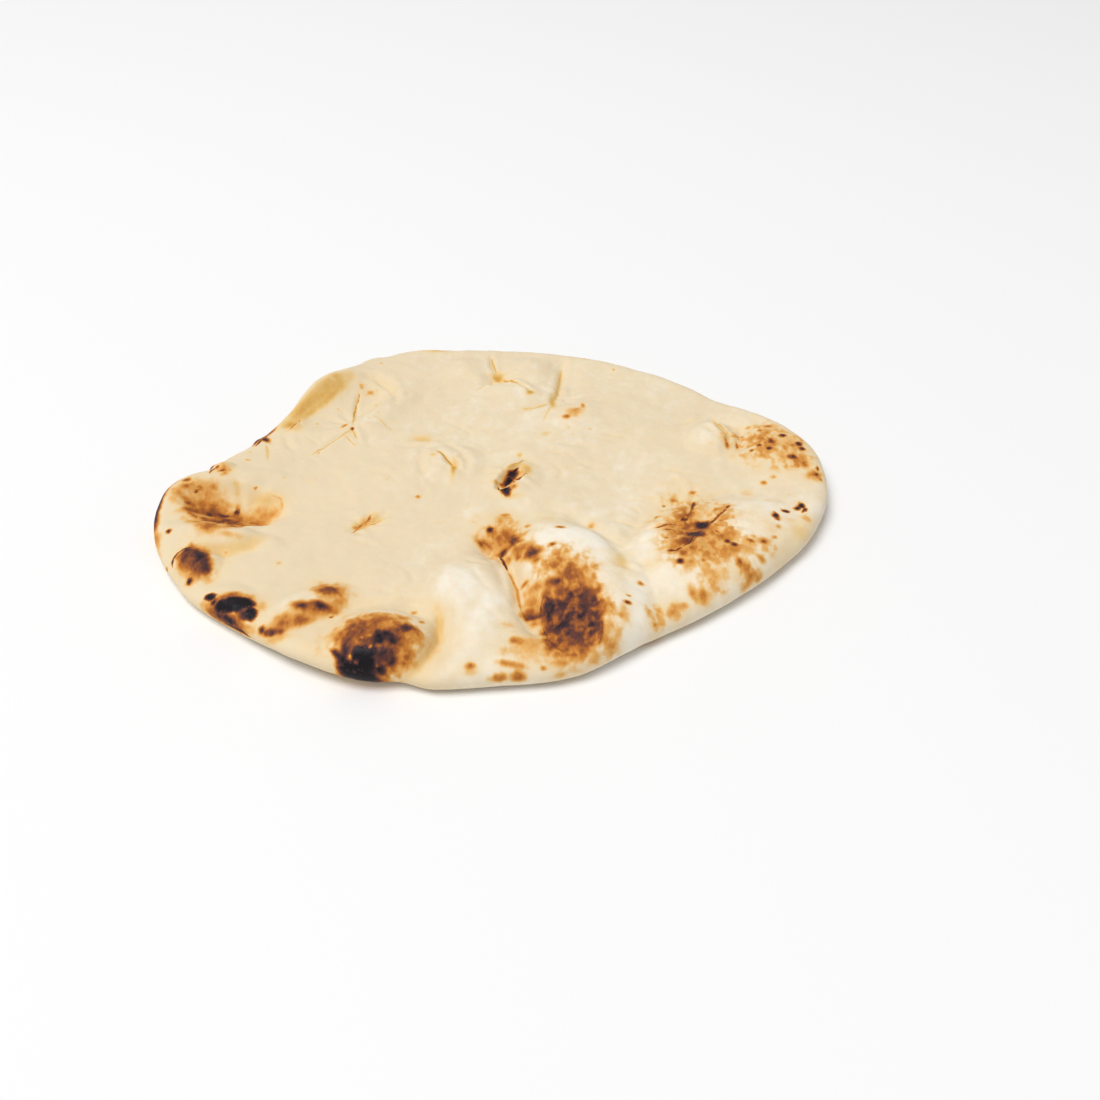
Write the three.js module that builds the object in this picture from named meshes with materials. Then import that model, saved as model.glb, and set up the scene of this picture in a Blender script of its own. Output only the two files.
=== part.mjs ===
// A naan: one leavened flatbread lying on its underside, puffed, blistered and pinched by a hot oven.
// Millimetres, +Z up. The origin is under the middle of the bread, on the surface that it lies on.
// +X runs along the longer way across, and -Y is the side that the front blisters are on.
import * as THREE from "three";

// Driving dimensions
const LENGTH = 241;
const BREADTH = 208;
const CRUMB_THICKNESS = 6.6;
const RIM_THICKNESS_THICK = 9.4;
const RIM_THICKNESS_THIN = 5.4;
const THICK_RIM_BEARING = 285;
const RIM_SWELL_REACH = 24;
const EDGE_ROLL = 5.2;

// How finely the two faces are divided: rings from the middle out, the last few of them round the edge
const TOP_RINGS = 36;
const TOP_ROLL_RINGS = 4;
const UNDER_RINGS = TOP_RINGS / 2;
const UNDER_ROLL_RINGS = 3;
const SECTORS = 6;

// The hand-stretched outline: distance from the middle to the rim, anticlockwise from +X in equal steps
const RIM_REACH = [
  120, 119, 109.5, 104.5, 104, 103.2, 105, 107.8, 107.2, 101, 96, 96.5,
  113.5, 120, 117.5, 112.5, 111, 109.5, 104.8, 104, 98.5, 100, 105.5, 114,
];
const RIM_STEP = (2 * Math.PI) / RIM_REACH.length;
const OUTLINE_SAMPLES = 720;

// Short stretches of rim that stand out or, below 0, in: bearing and half-width in degrees, distance
const RIM_BUMPS = [
  { name: "back edge", bearing: 110.5, spread: 6, out: 3.2 },
  { name: "back shoulder", bearing: 120.5, spread: 4, out: 3.2 },
  { name: "back corner", bearing: 160.5, spread: 6, out: 1.2 },
  { name: "burnt tip", bearing: 162, spread: 1.8, out: 1 },
  { name: "pocket nub", bearing: 175.5, spread: 1.1, out: 1.6 },
  { name: "waist", bearing: 176.5, spread: 4.5, out: -5.5 },
  { name: "crook of the nub", bearing: 178.5, spread: 1.2, out: -2.2 },
  { name: "notch beside the front blister", bearing: 256.5, spread: 4, out: -3.2 },
];

// Stretches of rim that curl up off the surface: bearing and half-width in degrees, height, reach inwards
const RIM_LIFTS = [
  { name: "left curl", bearing: 187, spread: 14, height: 6, reach: 44 },
  { name: "back lip", bearing: 137, spread: 12, height: 7.5, reach: 30 },
  { name: "front left edge", bearing: 240, spread: 12, height: 2.6, reach: 40 },
  { name: "right end", bearing: 8, spread: 20, height: 1.8, reach: 46 },
];

// Blisters and mounds: middle, half-lengths along and across, turn in degrees, height, how full the top is,
// and how softly the foot runs out into the bread round it
const MOUNDS = [
  { name: "front blister", at: [-34, -88], half: [18.5, 17], turn: 0, height: 5.2, full: 1.6, foot: 1.5 },
  { name: "streaked blister", at: [-59, -71], half: [18, 10], turn: 36, height: 2.8, full: 1.2, foot: 1.7 },
  { name: "burnt ridge", at: [-84, -68], half: [14, 8], turn: -40, height: 1.4, full: 1, foot: 2 },
  { name: "left dome", at: [-100.5, -49], half: [9.5, 10.5], turn: 20, height: 3, full: 1.3, foot: 1.3 },
  { name: "left pocket lip", at: [-96, -36], half: [25, 8.5], turn: -6, height: 3.4, full: 1.2, foot: 1.5 },
  { name: "left pocket nub", at: [-101.5, 5], half: [4.5, 3.4], turn: 20, height: 1.8, full: 1, foot: 1.5 },
  { name: "back pocket roll", at: [-47, 52], half: [30, 11], turn: 62, height: 2, full: 1, foot: 2 },
  { name: "pinch bulge left", at: [-17, 84], half: [13, 13], turn: 0, height: 1.8, full: 1, foot: 2 },
  { name: "pinch bulge right", at: [10, 84], half: [12, 12], turn: 0, height: 1.8, full: 1, foot: 2 },
  { name: "pinch bulge front", at: [3, 64], half: [15, 11], turn: -20, height: 1.8, full: 1, foot: 2 },
  { name: "tan bump", at: [29, 47], half: [15, 12], turn: 30, height: 1.8, full: 1, foot: 2 },
  { name: "ring bubble", at: [-19, 13], half: [14, 13], turn: 0, height: 1.8, full: 1.3, foot: 1.3 },
  { name: "burst rim", at: [5, 2], half: [12, 14], turn: -25, height: 2.4, full: 1.4, foot: 2 },
  { name: "great blister", at: [27, -60], half: [40, 23], turn: -70, height: 6.2, full: 1.5, foot: 1.2 },
  { name: "front mound", at: [-9, -67], half: [31, 20], turn: -80, height: 4.4, full: 1.1, foot: 2.2 },
  { name: "right blister", at: [72, -38], half: [38, 25], turn: 42, height: 5, full: 1.5, foot: 1.3 },
  { name: "small bubble", at: [81, 30], half: [13, 11], turn: 60, height: 3.2, full: 1.3, foot: 1.2 },
  { name: "speckled blister", at: [101, 22], half: [20, 17], turn: 70, height: 2.4, full: 1.2, foot: 2 },
];

// Hollows: pockets where a bubble fell in, pinches, the burst crater, the sunken top of the great blister
const HOLLOWS = [
  { name: "left pocket", at: [-94, -16], half: [20, 12.5], turn: -6, depth: 5.2, full: 1.5, foot: 1.3 },
  { name: "back pocket", at: [-63, 56], half: [27, 15], turn: 57, depth: 3.6, full: 1.5, foot: 1.4 },
  { name: "star pinch", at: [-3, 76], half: [9, 7], turn: 0, depth: 2.4, full: 1, foot: 2 },
  { name: "ring bubble slit", at: [-18.5, 12], half: [6.5, 2.6], turn: -52, depth: 2, full: 1, foot: 1.5 },
  { name: "burst crater", at: [4, 1.5], half: [9, 4.8], turn: 56, depth: 4.6, full: 1.4, foot: 1.3 },
  { name: "scorched oval", at: [25, -77], half: [20, 11.5], turn: -82, depth: 2.6, full: 2.2, foot: 2 },
  { name: "wrinkled hollow", at: [68, -31], half: [14, 9], turn: 35, depth: 2.8, full: 1, foot: 2 },
  { name: "tan crease", at: [-46, -26], half: [9, 6], turn: 35, depth: 1.2, full: 1, foot: 2 },
];

// Valleys between neighbouring mounds: the line that they run along, half-width and depth
const VALLEYS = [
  { name: "great fold", line: [[-2, -38], [5, -52], [10, -66], [15, -80]], half: 5, depth: 4 },
  { name: "blister groove", line: [[-27, -70], [-17, -76], [-15, -88], [-20, -99]], half: 4.5, depth: 1.7 },
  { name: "bubble crease", line: [[86, 40], [92, 31], [91, 24]], half: 4.5, depth: 1.8 },
  { name: "back crease", line: [[23, 56], [26, 71], [23, 87]], half: 4.5, depth: 1.6 },
];

// Lips of dough folded over a crease: raised on their line's left, out to a reach, and steep on its right
const FOLDS = [
  {
    name: "great fold lip",
    line: [[11, -80], [8.5, -70], [7, -60], [5, -50], [2, -42], [-3, -34]],
    height: 2.4,
    reach: 10,
  },
  { name: "oval lip", line: [[6, -72], [13, -73.5], [19, -72]], height: 1.6, reach: 6 },
  { name: "burst front lip", line: [[9, 9], [4.5, 2], [0, -5]], height: 1.4, reach: 4.5 },
  { name: "burst back lip", line: [[0, -3], [3, 4], [8, 10]], height: 0.8, reach: 3.5 },
  { name: "back pocket lip", line: [[-78, 48], [-79, 39], [-85, 32]], height: 0.8, reach: 3 },
];
const FOLD_DROP = 2;
const FOLD_FULLNESS = 1.3;

// The slow unevenness of stretched dough: a few long waves, each turned by the golden angle from the last
const RIPPLE_COUNT = 7;
const RIPPLE_HEIGHT = 0.32;
const RIPPLE_LONGEST = 96;
const RIPPLE_SHORTEST = 34;
const GOLDEN_ANGLE = Math.PI * (3 - Math.sqrt(5));

const CREAM = 0xead9b4;
const DEGREE = Math.PI / 180;

const mix = (a, b, t) => a + (b - a) * t;
const smooth = (t) => THREE.MathUtils.smoothstep(t, 0, 1);

// How strong a stretch of rim is at a bearing in radians: 1 at its middle, nothing far from it.
function stretchShare(bearing, { bearing: middle, spread }) {
  const off = THREE.MathUtils.euclideanModulo(bearing / DEGREE - middle + 180, 360) - 180;
  return Math.exp(-((off / spread) ** 2));
}

// Distance to the rim along a bearing in radians, by a closed curve through the reach values, with bumps.
function rimReach(bearing) {
  const count = RIM_REACH.length;
  const place = THREE.MathUtils.euclideanModulo(bearing / RIM_STEP, count);
  const i = Math.floor(place);
  const t = place - i;
  const [a, b, c, d] = [-1, 0, 1, 2].map((k) => RIM_REACH[(i + k + count) % count]);
  const reach = b + 0.5 * t * (c - a + t * (2 * a - 5 * b + 4 * c - d + t * (3 * (b - c) + d - a)));
  return RIM_BUMPS.reduce((sum, bump) => sum + bump.out * stretchShare(bearing, bump), reach);
}

// The outline's box before it is set to its length and breadth about the origin.
function outlineBox() {
  const box = new THREE.Box2();
  for (let i = 0; i < OUTLINE_SAMPLES; i++) {
    const bearing = (2 * Math.PI * i) / OUTLINE_SAMPLES;
    const reach = rimReach(bearing);
    box.expandByPoint(new THREE.Vector2(reach * Math.cos(bearing), reach * Math.sin(bearing)));
  }
  return box;
}

const OUTLINE = outlineBox();
const OUTLINE_MIDDLE = OUTLINE.getCenter(new THREE.Vector2());
const OUTLINE_SIZE = OUTLINE.getSize(new THREE.Vector2());

// The place in plan at a bearing and a distance from the middle.
function planPoint(bearing, radius) {
  const point = new THREE.Vector2(radius * Math.cos(bearing), radius * Math.sin(bearing));
  point.sub(OUTLINE_MIDDLE);
  return point.multiply(new THREE.Vector2(LENGTH / OUTLINE_SIZE.x, BREADTH / OUTLINE_SIZE.y));
}

// A rounded swelling of height 1 on an ellipse, nothing outside it. A larger full gives a flatter top.
function swelling(x, y, { at, half, turn, full, foot }) {
  const c = Math.cos(turn * DEGREE);
  const s = Math.sin(turn * DEGREE);
  const [dx, dy] = [x - at[0], y - at[1]];
  const along = (c * dx + s * dy) / half[0];
  const across = (c * dy - s * dx) / half[1];
  const out = Math.pow(along * along + across * across, full);
  return out < 1 ? (1 - out) ** foot : 0;
}

// A point's distance from a line of straight pieces, above 0 on its left, and its share of the way along.
function linePlace(x, y, line) {
  const point = new THREE.Vector2(x, y);
  let nearest = { distance: Infinity, along: 0 };
  let length = 0;
  for (let i = 1; i < line.length; i++) {
    const start = new THREE.Vector2(...line[i - 1]);
    const piece = new THREE.Vector2(...line[i]).sub(start);
    const offset = point.clone().sub(start);
    const along = THREE.MathUtils.clamp(offset.dot(piece) / piece.length(), 0, piece.length());
    const distance = offset.distanceTo(piece.clone().setLength(along));
    if (distance < Math.abs(nearest.distance)) {
      const side = piece.cross(offset) < 0 ? -1 : 1;
      nearest = { distance: side * distance, along: length + along };
    }
    length += piece.length();
  }
  return { distance: nearest.distance, share: nearest.along / length };
}

// A fold's lip, of height 1 along the middle of its line and tapered to nothing at both ends.
function foldLip(x, y, { line, reach }) {
  const { distance, share } = linePlace(x, y, line);
  const taper = Math.min(1, FOLD_FULLNESS * Math.sin(Math.PI * share));
  const off = distance / (distance > 0 ? reach : FOLD_DROP);
  return taper * Math.exp(-off * off);
}

function ripple(x, y) {
  let height = 0;
  for (let i = 0; i < RIPPLE_COUNT; i++) {
    const turn = i * GOLDEN_ANGLE;
    const wave = mix(RIPPLE_LONGEST, RIPPLE_SHORTEST, i / (RIPPLE_COUNT - 1));
    const along = x * Math.cos(turn) + y * Math.sin(turn);
    const phase = i * i;
    height += RIPPLE_HEIGHT * Math.sin((2 * Math.PI * along) / wave + phase);
  }
  return height;
}

// Everything that raises or lowers the upper face.
function relief(x, y) {
  const raised = MOUNDS.reduce((sum, mound) => sum + mound.height * swelling(x, y, mound), 0);
  const sunk = HOLLOWS.reduce((sum, hollow) => sum + hollow.depth * swelling(x, y, hollow), 0);
  const grooved = VALLEYS.reduce((sum, valley) => {
    const off = linePlace(x, y, valley.line).distance / valley.half;
    return sum + valley.depth * Math.exp(-off * off);
  }, 0);
  const folded = FOLDS.reduce((sum, fold) => sum + fold.height * foldLip(x, y, fold), 0);
  return raised - sunk - grooved + folded + ripple(x, y);
}

// How far the underside stands off the surface: nothing but under the stretches of rim that curl up.
function lift(bearing, inset) {
  return RIM_LIFTS.reduce((sum, curl) => {
    const near = 1 - smooth(inset / curl.reach);
    return sum + curl.height * near * stretchShare(bearing, curl);
  }, 0);
}

// Thickness of the bread before its blisters: even crumb, with a rim that swells towards its thick side.
function thickness(bearing, inset) {
  const side = 0.5 + 0.5 * Math.cos(bearing - THICK_RIM_BEARING * DEGREE);
  const rim = mix(RIM_THICKNESS_THIN, RIM_THICKNESS_THICK, side);
  return mix(CRUMB_THICKNESS, rim, Math.exp(-((inset / RIM_SWELL_REACH) ** 2)));
}

// Where a ring lies: its share of the way out to the edge's roll, how far in from the rim that roll is
// there, and its rounding, from 1 on the face to 0 at the rim.
function ringPlace(ring, rings, rollRings, rollShare) {
  const flatRings = rings - rollRings;
  if (ring <= flatRings) {
    return { reachShare: ring / flatRings, rollInset: EDGE_ROLL, rounding: 1 };
  }
  const turn = (((ring - flatRings) / rollRings) * rollShare * Math.PI) / 2;
  return { reachShare: 1, rollInset: EDGE_ROLL * (1 - Math.sin(turn)), rounding: Math.cos(turn) };
}

// The points of one face, ring by ring from the middle: 1 point, then 6, 12, 18 and so on.
function facePoints(rings, rollRings, rollShare, side) {
  const points = [];
  for (let ring = 0; ring <= rings; ring++) {
    const { reachShare, rollInset, rounding } = ringPlace(ring, rings, rollRings, rollShare);
    const count = Math.max(1, SECTORS * ring);
    for (let i = 0; i < count; i++) {
      const bearing = (2 * Math.PI * i) / count;
      const reach = rimReach(bearing);
      const radius = (reach - rollInset) * reachShare;
      const { x, y } = planPoint(bearing, radius);
      const inset = reach - radius;
      const depth = thickness(bearing, inset) + relief(x, y);
      points.push(x, y, lift(bearing, inset) + (depth * (1 + side * rounding)) / 2);
    }
  }
  return points;
}

// The first point of a ring, and a point of it counted round and round.
const ringStart = (ring) => (ring === 0 ? 0 : 1 + (SECTORS / 2) * ring * (ring - 1));
const ringPoint = (ring, i) => ringStart(ring) + (ring === 0 ? 0 : i % (SECTORS * ring));

// The triangles of one face, seen anticlockwise from above.
function faceTriangles(rings) {
  const triangles = [];
  for (let ring = 0; ring < rings; ring++) {
    for (let sector = 0; sector < SECTORS; sector++) {
      for (let i = 0; i <= ring; i++) {
        const inner = ringPoint(ring, sector * ring + i);
        const outer = ringPoint(ring + 1, sector * (ring + 1) + i);
        const outerNext = ringPoint(ring + 1, sector * (ring + 1) + i + 1);
        triangles.push(inner, outer, outerNext);
        if (i < ring) triangles.push(inner, outerNext, ringPoint(ring, sector * ring + i + 1));
      }
    }
  }
  return triangles;
}

// The band under the rim, which joins two points of the upper face's rim to each point of the underside's.
function rimTriangles(underStart) {
  const triangles = [];
  for (let i = 0; i < SECTORS * UNDER_RINGS; i++) {
    const [a, b, c] = [0, 1, 2].map((step) => ringPoint(TOP_RINGS, 2 * i + step));
    const [d, e] = [0, 1].map((step) => underStart + ringPoint(UNDER_RINGS, i + step));
    triangles.push(a, d, b, b, d, e, b, e, c);
  }
  return triangles;
}

function naanGeometry() {
  const top = facePoints(TOP_RINGS, TOP_ROLL_RINGS, 1, 1);
  const under = facePoints(UNDER_RINGS, UNDER_ROLL_RINGS, UNDER_ROLL_RINGS / (UNDER_ROLL_RINGS + 1), -1);
  const underStart = top.length / 3;
  const underTriangles = faceTriangles(UNDER_RINGS).map((i) => underStart + i);
  const geometry = new THREE.BufferGeometry();
  geometry.setAttribute("position", new THREE.Float32BufferAttribute([...top, ...under], 3));
  const topTriangles = faceTriangles(TOP_RINGS);
  geometry.setIndex([...topTriangles, ...rimTriangles(underStart), ...underTriangles.reverse()]);
  geometry.computeVertexNormals();
  return geometry;
}

const crust = new THREE.MeshStandardMaterial({ color: CREAM, roughness: 0.8, metalness: 0 });
const naan = new THREE.Mesh(naanGeometry(), crust);
naan.name = "naan";

const bread = new THREE.Group();
bread.add(naan);

export default bread;
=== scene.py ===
"""A naan, hand-stretched, blistered and scorched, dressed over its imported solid.

Places and sizes of the bread are in millimetres in the part's own frame, and MM turns them into metres where
a mesh, light or camera is made. Bearings are degrees, anticlockwise from +X.
"""

from __future__ import annotations

import itertools
import logging
import math
from dataclasses import dataclass
from enum import Enum
from typing import Any, Sequence, Union

import bpy
import numpy as np
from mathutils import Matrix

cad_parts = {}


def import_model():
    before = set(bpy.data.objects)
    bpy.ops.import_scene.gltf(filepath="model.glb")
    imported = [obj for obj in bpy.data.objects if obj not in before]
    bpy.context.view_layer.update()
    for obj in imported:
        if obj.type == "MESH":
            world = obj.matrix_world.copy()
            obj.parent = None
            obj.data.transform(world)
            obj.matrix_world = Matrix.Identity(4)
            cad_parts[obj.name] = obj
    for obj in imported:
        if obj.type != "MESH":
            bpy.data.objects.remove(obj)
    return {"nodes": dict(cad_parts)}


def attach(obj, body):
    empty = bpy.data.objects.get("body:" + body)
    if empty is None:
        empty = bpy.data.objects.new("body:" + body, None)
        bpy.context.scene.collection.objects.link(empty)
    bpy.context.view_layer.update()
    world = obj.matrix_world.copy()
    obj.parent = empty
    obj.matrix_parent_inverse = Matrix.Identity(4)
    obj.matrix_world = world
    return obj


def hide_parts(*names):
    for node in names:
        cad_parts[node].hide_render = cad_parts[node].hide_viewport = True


MM = 0.001
SEED = 7
LENGTH = 241.0
BREADTH = 208.0
# The glow round a patch: its reach in the patch's half-lengths, its most, and its share of the level
GLOW_REACH = 1.7
GLOW_MOST = 0.19
GLOW_SHARE = 0.6
GOLD_GLOW_SHARE = 0.5
# The power that overlapping patches are added with, so that the strongest one shows
PATCH_BLEND = 5.0
# A thin streak's level fades out over these distances, and its drawn line ends at this many half-widths
STREAK_NEAR = (1.2, 2.4)
STREAK_END = 2.2
# Scale of the skin's grain along Y: below 1, because the dough was drawn out that way
DRAWN_OUT = 0.66
# What the mesh's points carry for the skin's material; pale carries painted highlight and painted shade
BAKED_KEYS = ("toast", "speckle", "gold", "pale", "toast_line", "toast_off", "gold_line", "gold_off")
BAKE_MAP = "OFBake"
LOG = logging.getLogger("naan")

Point = tuple[float, float]
Array = np.ndarray
Colour = tuple[float, float, float, float]


def smoothstep(low: float, high: float, value: Array) -> Array:
    """Rises smoothly from 0 at low to 1 at high.

    Args:
        low: Value where the rise begins.
        high: Value where it ends.
        value: Values to map.

    Returns:
        The mapped values, from 0 to 1.
    """
    t = np.clip((value - low) / (high - low), 0.0, 1.0)
    return t * t * (3.0 - 2.0 * t)


def bell(value: Array) -> Array:
    """A smooth bump that is 1 at 0 and next to nothing past 2."""
    return np.exp(-(value**2))


def bearing_off(bearing: Array, middle: float) -> Array:
    """Degrees, from -180 to 180, that bearings in radians lie from a middle in degrees."""
    return (np.degrees(bearing) - middle + 180.0) % 360.0 - 180.0


def linear(red: int, green: int, blue: int) -> Colour:
    """Turns a colour as seen on a screen into the light values that a shader takes.

    Args:
        red: Red, from 0 to 255.
        green: Green, from 0 to 255.
        blue: Blue, from 0 to 255.

    Returns:
        Linear red, green, blue and an alpha of 1.
    """
    parts = [c / 255.0 for c in (red, green, blue)]
    bright = [c / 12.92 if c <= 0.04045 else ((c + 0.055) / 1.055) ** 2.4 for c in parts]
    return (bright[0], bright[1], bright[2], 1.0)


@dataclass(frozen=True)
class DoughNoise:
    """Seeded gradient noise in space, about -1 to 1."""

    seed: int
    lattice: int = 256
    gain: float = 1.6
    layered_gain: float = 1.5

    def at(self, x: Array, y: Array, wave: float, z: Array | float = 0.0) -> Array:
        """Noise with bumps about one wave apart.

        Args:
            x: Places along X.
            y: Places along Y.
            wave: Distance between bumps.
            z: Places along Z, for noise that isn't drawn out on steep sides.

        Returns:
            The noise at each place.
        """
        rng = np.random.default_rng(self.seed)
        order = rng.permutation(self.lattice)
        pull = rng.normal(size=(self.lattice, 3))
        pull /= np.linalg.norm(pull, axis=1, keepdims=True)
        place = np.stack(np.broadcast_arrays(x, y, z), -1) / wave
        cell = np.floor(place).astype(int)
        inside = place - cell
        fade = inside**3 * (inside * (inside * 6.0 - 15.0) + 10.0)
        total = np.zeros(place.shape[:-1])
        for corner in itertools.product((0, 1), repeat=3):
            step = np.array(corner)
            i, j, k = np.moveaxis((cell + step) % self.lattice, -1, 0)
            which = order[(order[(order[i] + j) % self.lattice] + k) % self.lattice]
            weight = np.prod(np.where(step == 1, fade, 1.0 - fade), axis=-1)
            total += weight * np.sum(pull[which] * (inside - step), axis=-1)
        return self.gain * total

    def layered(self, x: Array, y: Array, wave: float, layers: int = 3, z: Array | float = 0.0) -> Array:
        """Noise with finer and weaker layers added, about -1 to 1.

        Args:
            x: Places along X.
            y: Places along Y.
            wave: Distance between the largest bumps.
            layers: How many layers, each half as wide and high as the last.
            z: Places along Z.

        Returns:
            The noise at each place.
        """
        total = sum(DoughNoise(self.seed + k).at(x, y, wave / 2**k, z) / 2**k for k in range(layers))
        return total / self.layered_gain


class Draw(Enum):
    """Seeded draws of the bread. Each value is added to SEED."""

    SWELL = 0
    RIM = 3
    RIPPLE = 11
    FLOW_BEND = 23
    FLOW_FIELD = 31
    FLOW = 37
    PIMPLES = 41
    CRUST = 43
    PUCKER_WANDER = 47
    EDGE = 53
    SHIFT_X = 59
    SHIFT_Y = 61
    FRECKLES = 67
    UNDER_CLOUD = 71
    UNDER_WARP_X = 73
    UNDER_WARP_Y = 79
    UNDER_SPOTS = 83
    UNDER_DIMPLE = 89
    WRINKLES = 97

    def seed(self) -> int:
        """The draw's seed."""
        return SEED + self.value

    def noise(self) -> DoughNoise:
        """The draw's noise."""
        return DoughNoise(self.seed())


@dataclass(frozen=True)
class Bumps:
    """Bumps of noise: their height, the distance between the largest, and how many layers they have."""

    height: float
    wave: float
    layers: int = 3

    def rise(self, x: Array, y: Array, draw: Draw) -> Array:
        """Height that they add at each place, above and below 0."""
        return self.height * draw.noise().layered(x, y, self.wave, self.layers)


def line_places(x: Array, y: Array, line: Sequence[Point]) -> tuple[Array, Array]:
    """Finds each place's distance from a line of straight pieces, and how far along the line it lies.

    Args:
        x: Places along X.
        y: Places along Y.
        line: Corners of the line.

    Returns:
        Distances, above 0 on the line's left and below 0 on its right, and shares of its length from 0 to 1.
    """
    best, share, side = np.full(x.shape, np.inf), np.zeros(x.shape), np.ones(x.shape)
    lengths = [math.dist(a, b) for a, b in zip(line, line[1:])]
    done, whole = 0.0, sum(lengths)
    for (ax, ay), (bx, by), length in zip(line, line[1:], lengths):
        dx, dy = (bx - ax) / length, (by - ay) / length
        t = np.clip((x - ax) * dx + (y - ay) * dy, 0.0, length)
        distance = np.hypot(x - ax - t * dx, y - ay - t * dy)
        nearer = distance < best
        best = np.where(nearer, distance, best)
        share = np.where(nearer, (done + t) / whole, share)
        side = np.where(nearer, np.sign(dx * (y - ay) - dy * (x - ax)), side)
        done += length
    return best * side, share


def taper(share: Array, blunt: float, least: float = 0.0) -> Array:
    """How far a line's mark is drawn along its length: 1 in the middle, less towards the ends.

    Args:
        share: Shares of the line's length.
        blunt: How soon the mark is whole, from 1 upwards.
        least: Share of the length that each end is cut short by, so that it doesn't run out to nothing.

    Returns:
        The share of the mark at each place.
    """
    return np.clip(blunt * np.sin(math.pi * np.clip(share, least, 1.0 - least)), 0.0, 1.0)


def ellipse_places(x: Array, y: Array, at: Point, half: Point, turn: float) -> Array:
    """How far out of an ellipse each place lies: 0 at its middle and 1 on its edge.

    Args:
        x: Places along X.
        y: Places along Y.
        at: The ellipse's middle.
        half: Half-lengths along and across.
        turn: Turn in degrees.

    Returns:
        The share of the way out at each place.
    """
    c, s = math.cos(math.radians(turn)), math.sin(math.radians(turn))
    along = (c * (x - at[0]) + s * (y - at[1])) / half[0]
    across = (c * (y - at[1]) - s * (x - at[0])) / half[1]
    return np.hypot(along, across)


@dataclass(frozen=True)
class Swell:
    """A blister or mound where height is above 0, and a hollow where it is below."""

    at: Point
    half: Point
    turn: float
    height: float
    full: float
    foot: float = 2.0

    def rise(self, x: Array, y: Array) -> Array:
        """Height that it adds at each place, with a crisper edge where foot is smaller."""
        out = ellipse_places(x, y, self.at, self.half, self.turn) ** (2.0 * self.full)
        return self.height * np.clip(1.0 - out, 0.0, 1.0) ** self.foot


@dataclass(frozen=True)
class Valley:
    """A soft groove between neighbouring mounds."""

    line: tuple[Point, ...]
    half: float
    depth: float

    def rise(self, x: Array, y: Array) -> Array:
        """Height that it adds at each place, which is never above 0."""
        distance, _ = line_places(x, y, self.line)
        return -self.depth * bell(distance / self.half)


@dataclass(frozen=True)
class Fold:
    """A lip of dough that is raised on the left of a line and drops off steeply on its right."""

    line: tuple[Point, ...]
    height: float
    reach: float
    drop: float = 0.8
    blunt: float = 1.3

    def rise(self, x: Array, y: Array) -> Array:
        """Height that it adds.

        Args:
            x: Places along X.
            y: Places along Y.

        Returns:
            The height at each place.
        """
        distance, share = line_places(x, y, self.line)
        raised = bell(np.maximum(distance, 0.0) / self.reach)
        dropped = bell(np.minimum(distance, 0.0) / self.drop)
        return self.height * taper(share, self.blunt) * raised * dropped


@dataclass(frozen=True)
class Pucker:
    """Small wrinkles that run in towards a pinched place."""

    at: Point
    reach: float
    count: int
    depth: float
    inner: Point = (0.08, 0.3)
    outer: Point = (0.4, 1.0)
    bend: float = 5.0

    def rise(self, x: Array, y: Array, wander: Array) -> Array:
        """Height that it adds.

        Args:
            x: Places along X.
            y: Places along Y.
            wander: Noise that bends the wrinkles.

        Returns:
            The height at each place.
        """
        out = np.hypot(x - self.at[0], y - self.at[1]) / self.reach
        around = np.arctan2(y - self.at[1], x - self.at[0])
        ring = smoothstep(*self.inner, out) * (1.0 - smoothstep(*self.outer, out))
        return self.depth * ring * np.sin(self.count * around + self.bend * wander)


@dataclass(frozen=True)
class RimLift:
    """A stretch of rim that curls up off the surface."""

    bearing: float
    spread: float
    height: float
    reach: float

    def rise(self, bearing: Array, inset: Array) -> Array:
        """Height that it adds.

        Args:
            bearing: Bearings in radians.
            inset: Distances in from the rim.

        Returns:
            The lift at each place.
        """
        near = 1.0 - smoothstep(0.0, self.reach, inset)
        return self.height * near * bell(bearing_off(bearing, self.bearing) / self.spread)


@dataclass(frozen=True)
class Crease:
    """A narrow pinch in the skin, with puckered shoulders and a golden bottom that is partly its own gold
    and partly painted shade.
    """

    line: tuple[Point, ...]
    half: float
    depth: float
    tone: float
    blunt: float = 1.35
    least: float = 0.04
    shoulder: float = 0.32
    shoulder_off: float = 2.3
    shoulder_half: float = 1.1
    tone_half: float = 1.15

    def shape(self, x: Array, y: Array) -> tuple[Array, Array]:
        """The crease's relief, and its golden browning, which is partly painted shade.

        Args:
            x: Places along X.
            y: Places along Y.

        Returns:
            Height that it adds, and how golden it is.
        """
        distance, share = line_places(x, y, self.line)
        drawn = taper(share, self.blunt, self.least)
        off = np.abs(distance) / self.half
        shoulder = self.shoulder * bell((off - self.shoulder_off) / self.shoulder_half)
        return self.depth * drawn * (shoulder - bell(off)), self.tone * drawn * bell(off / self.tone_half)


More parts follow.
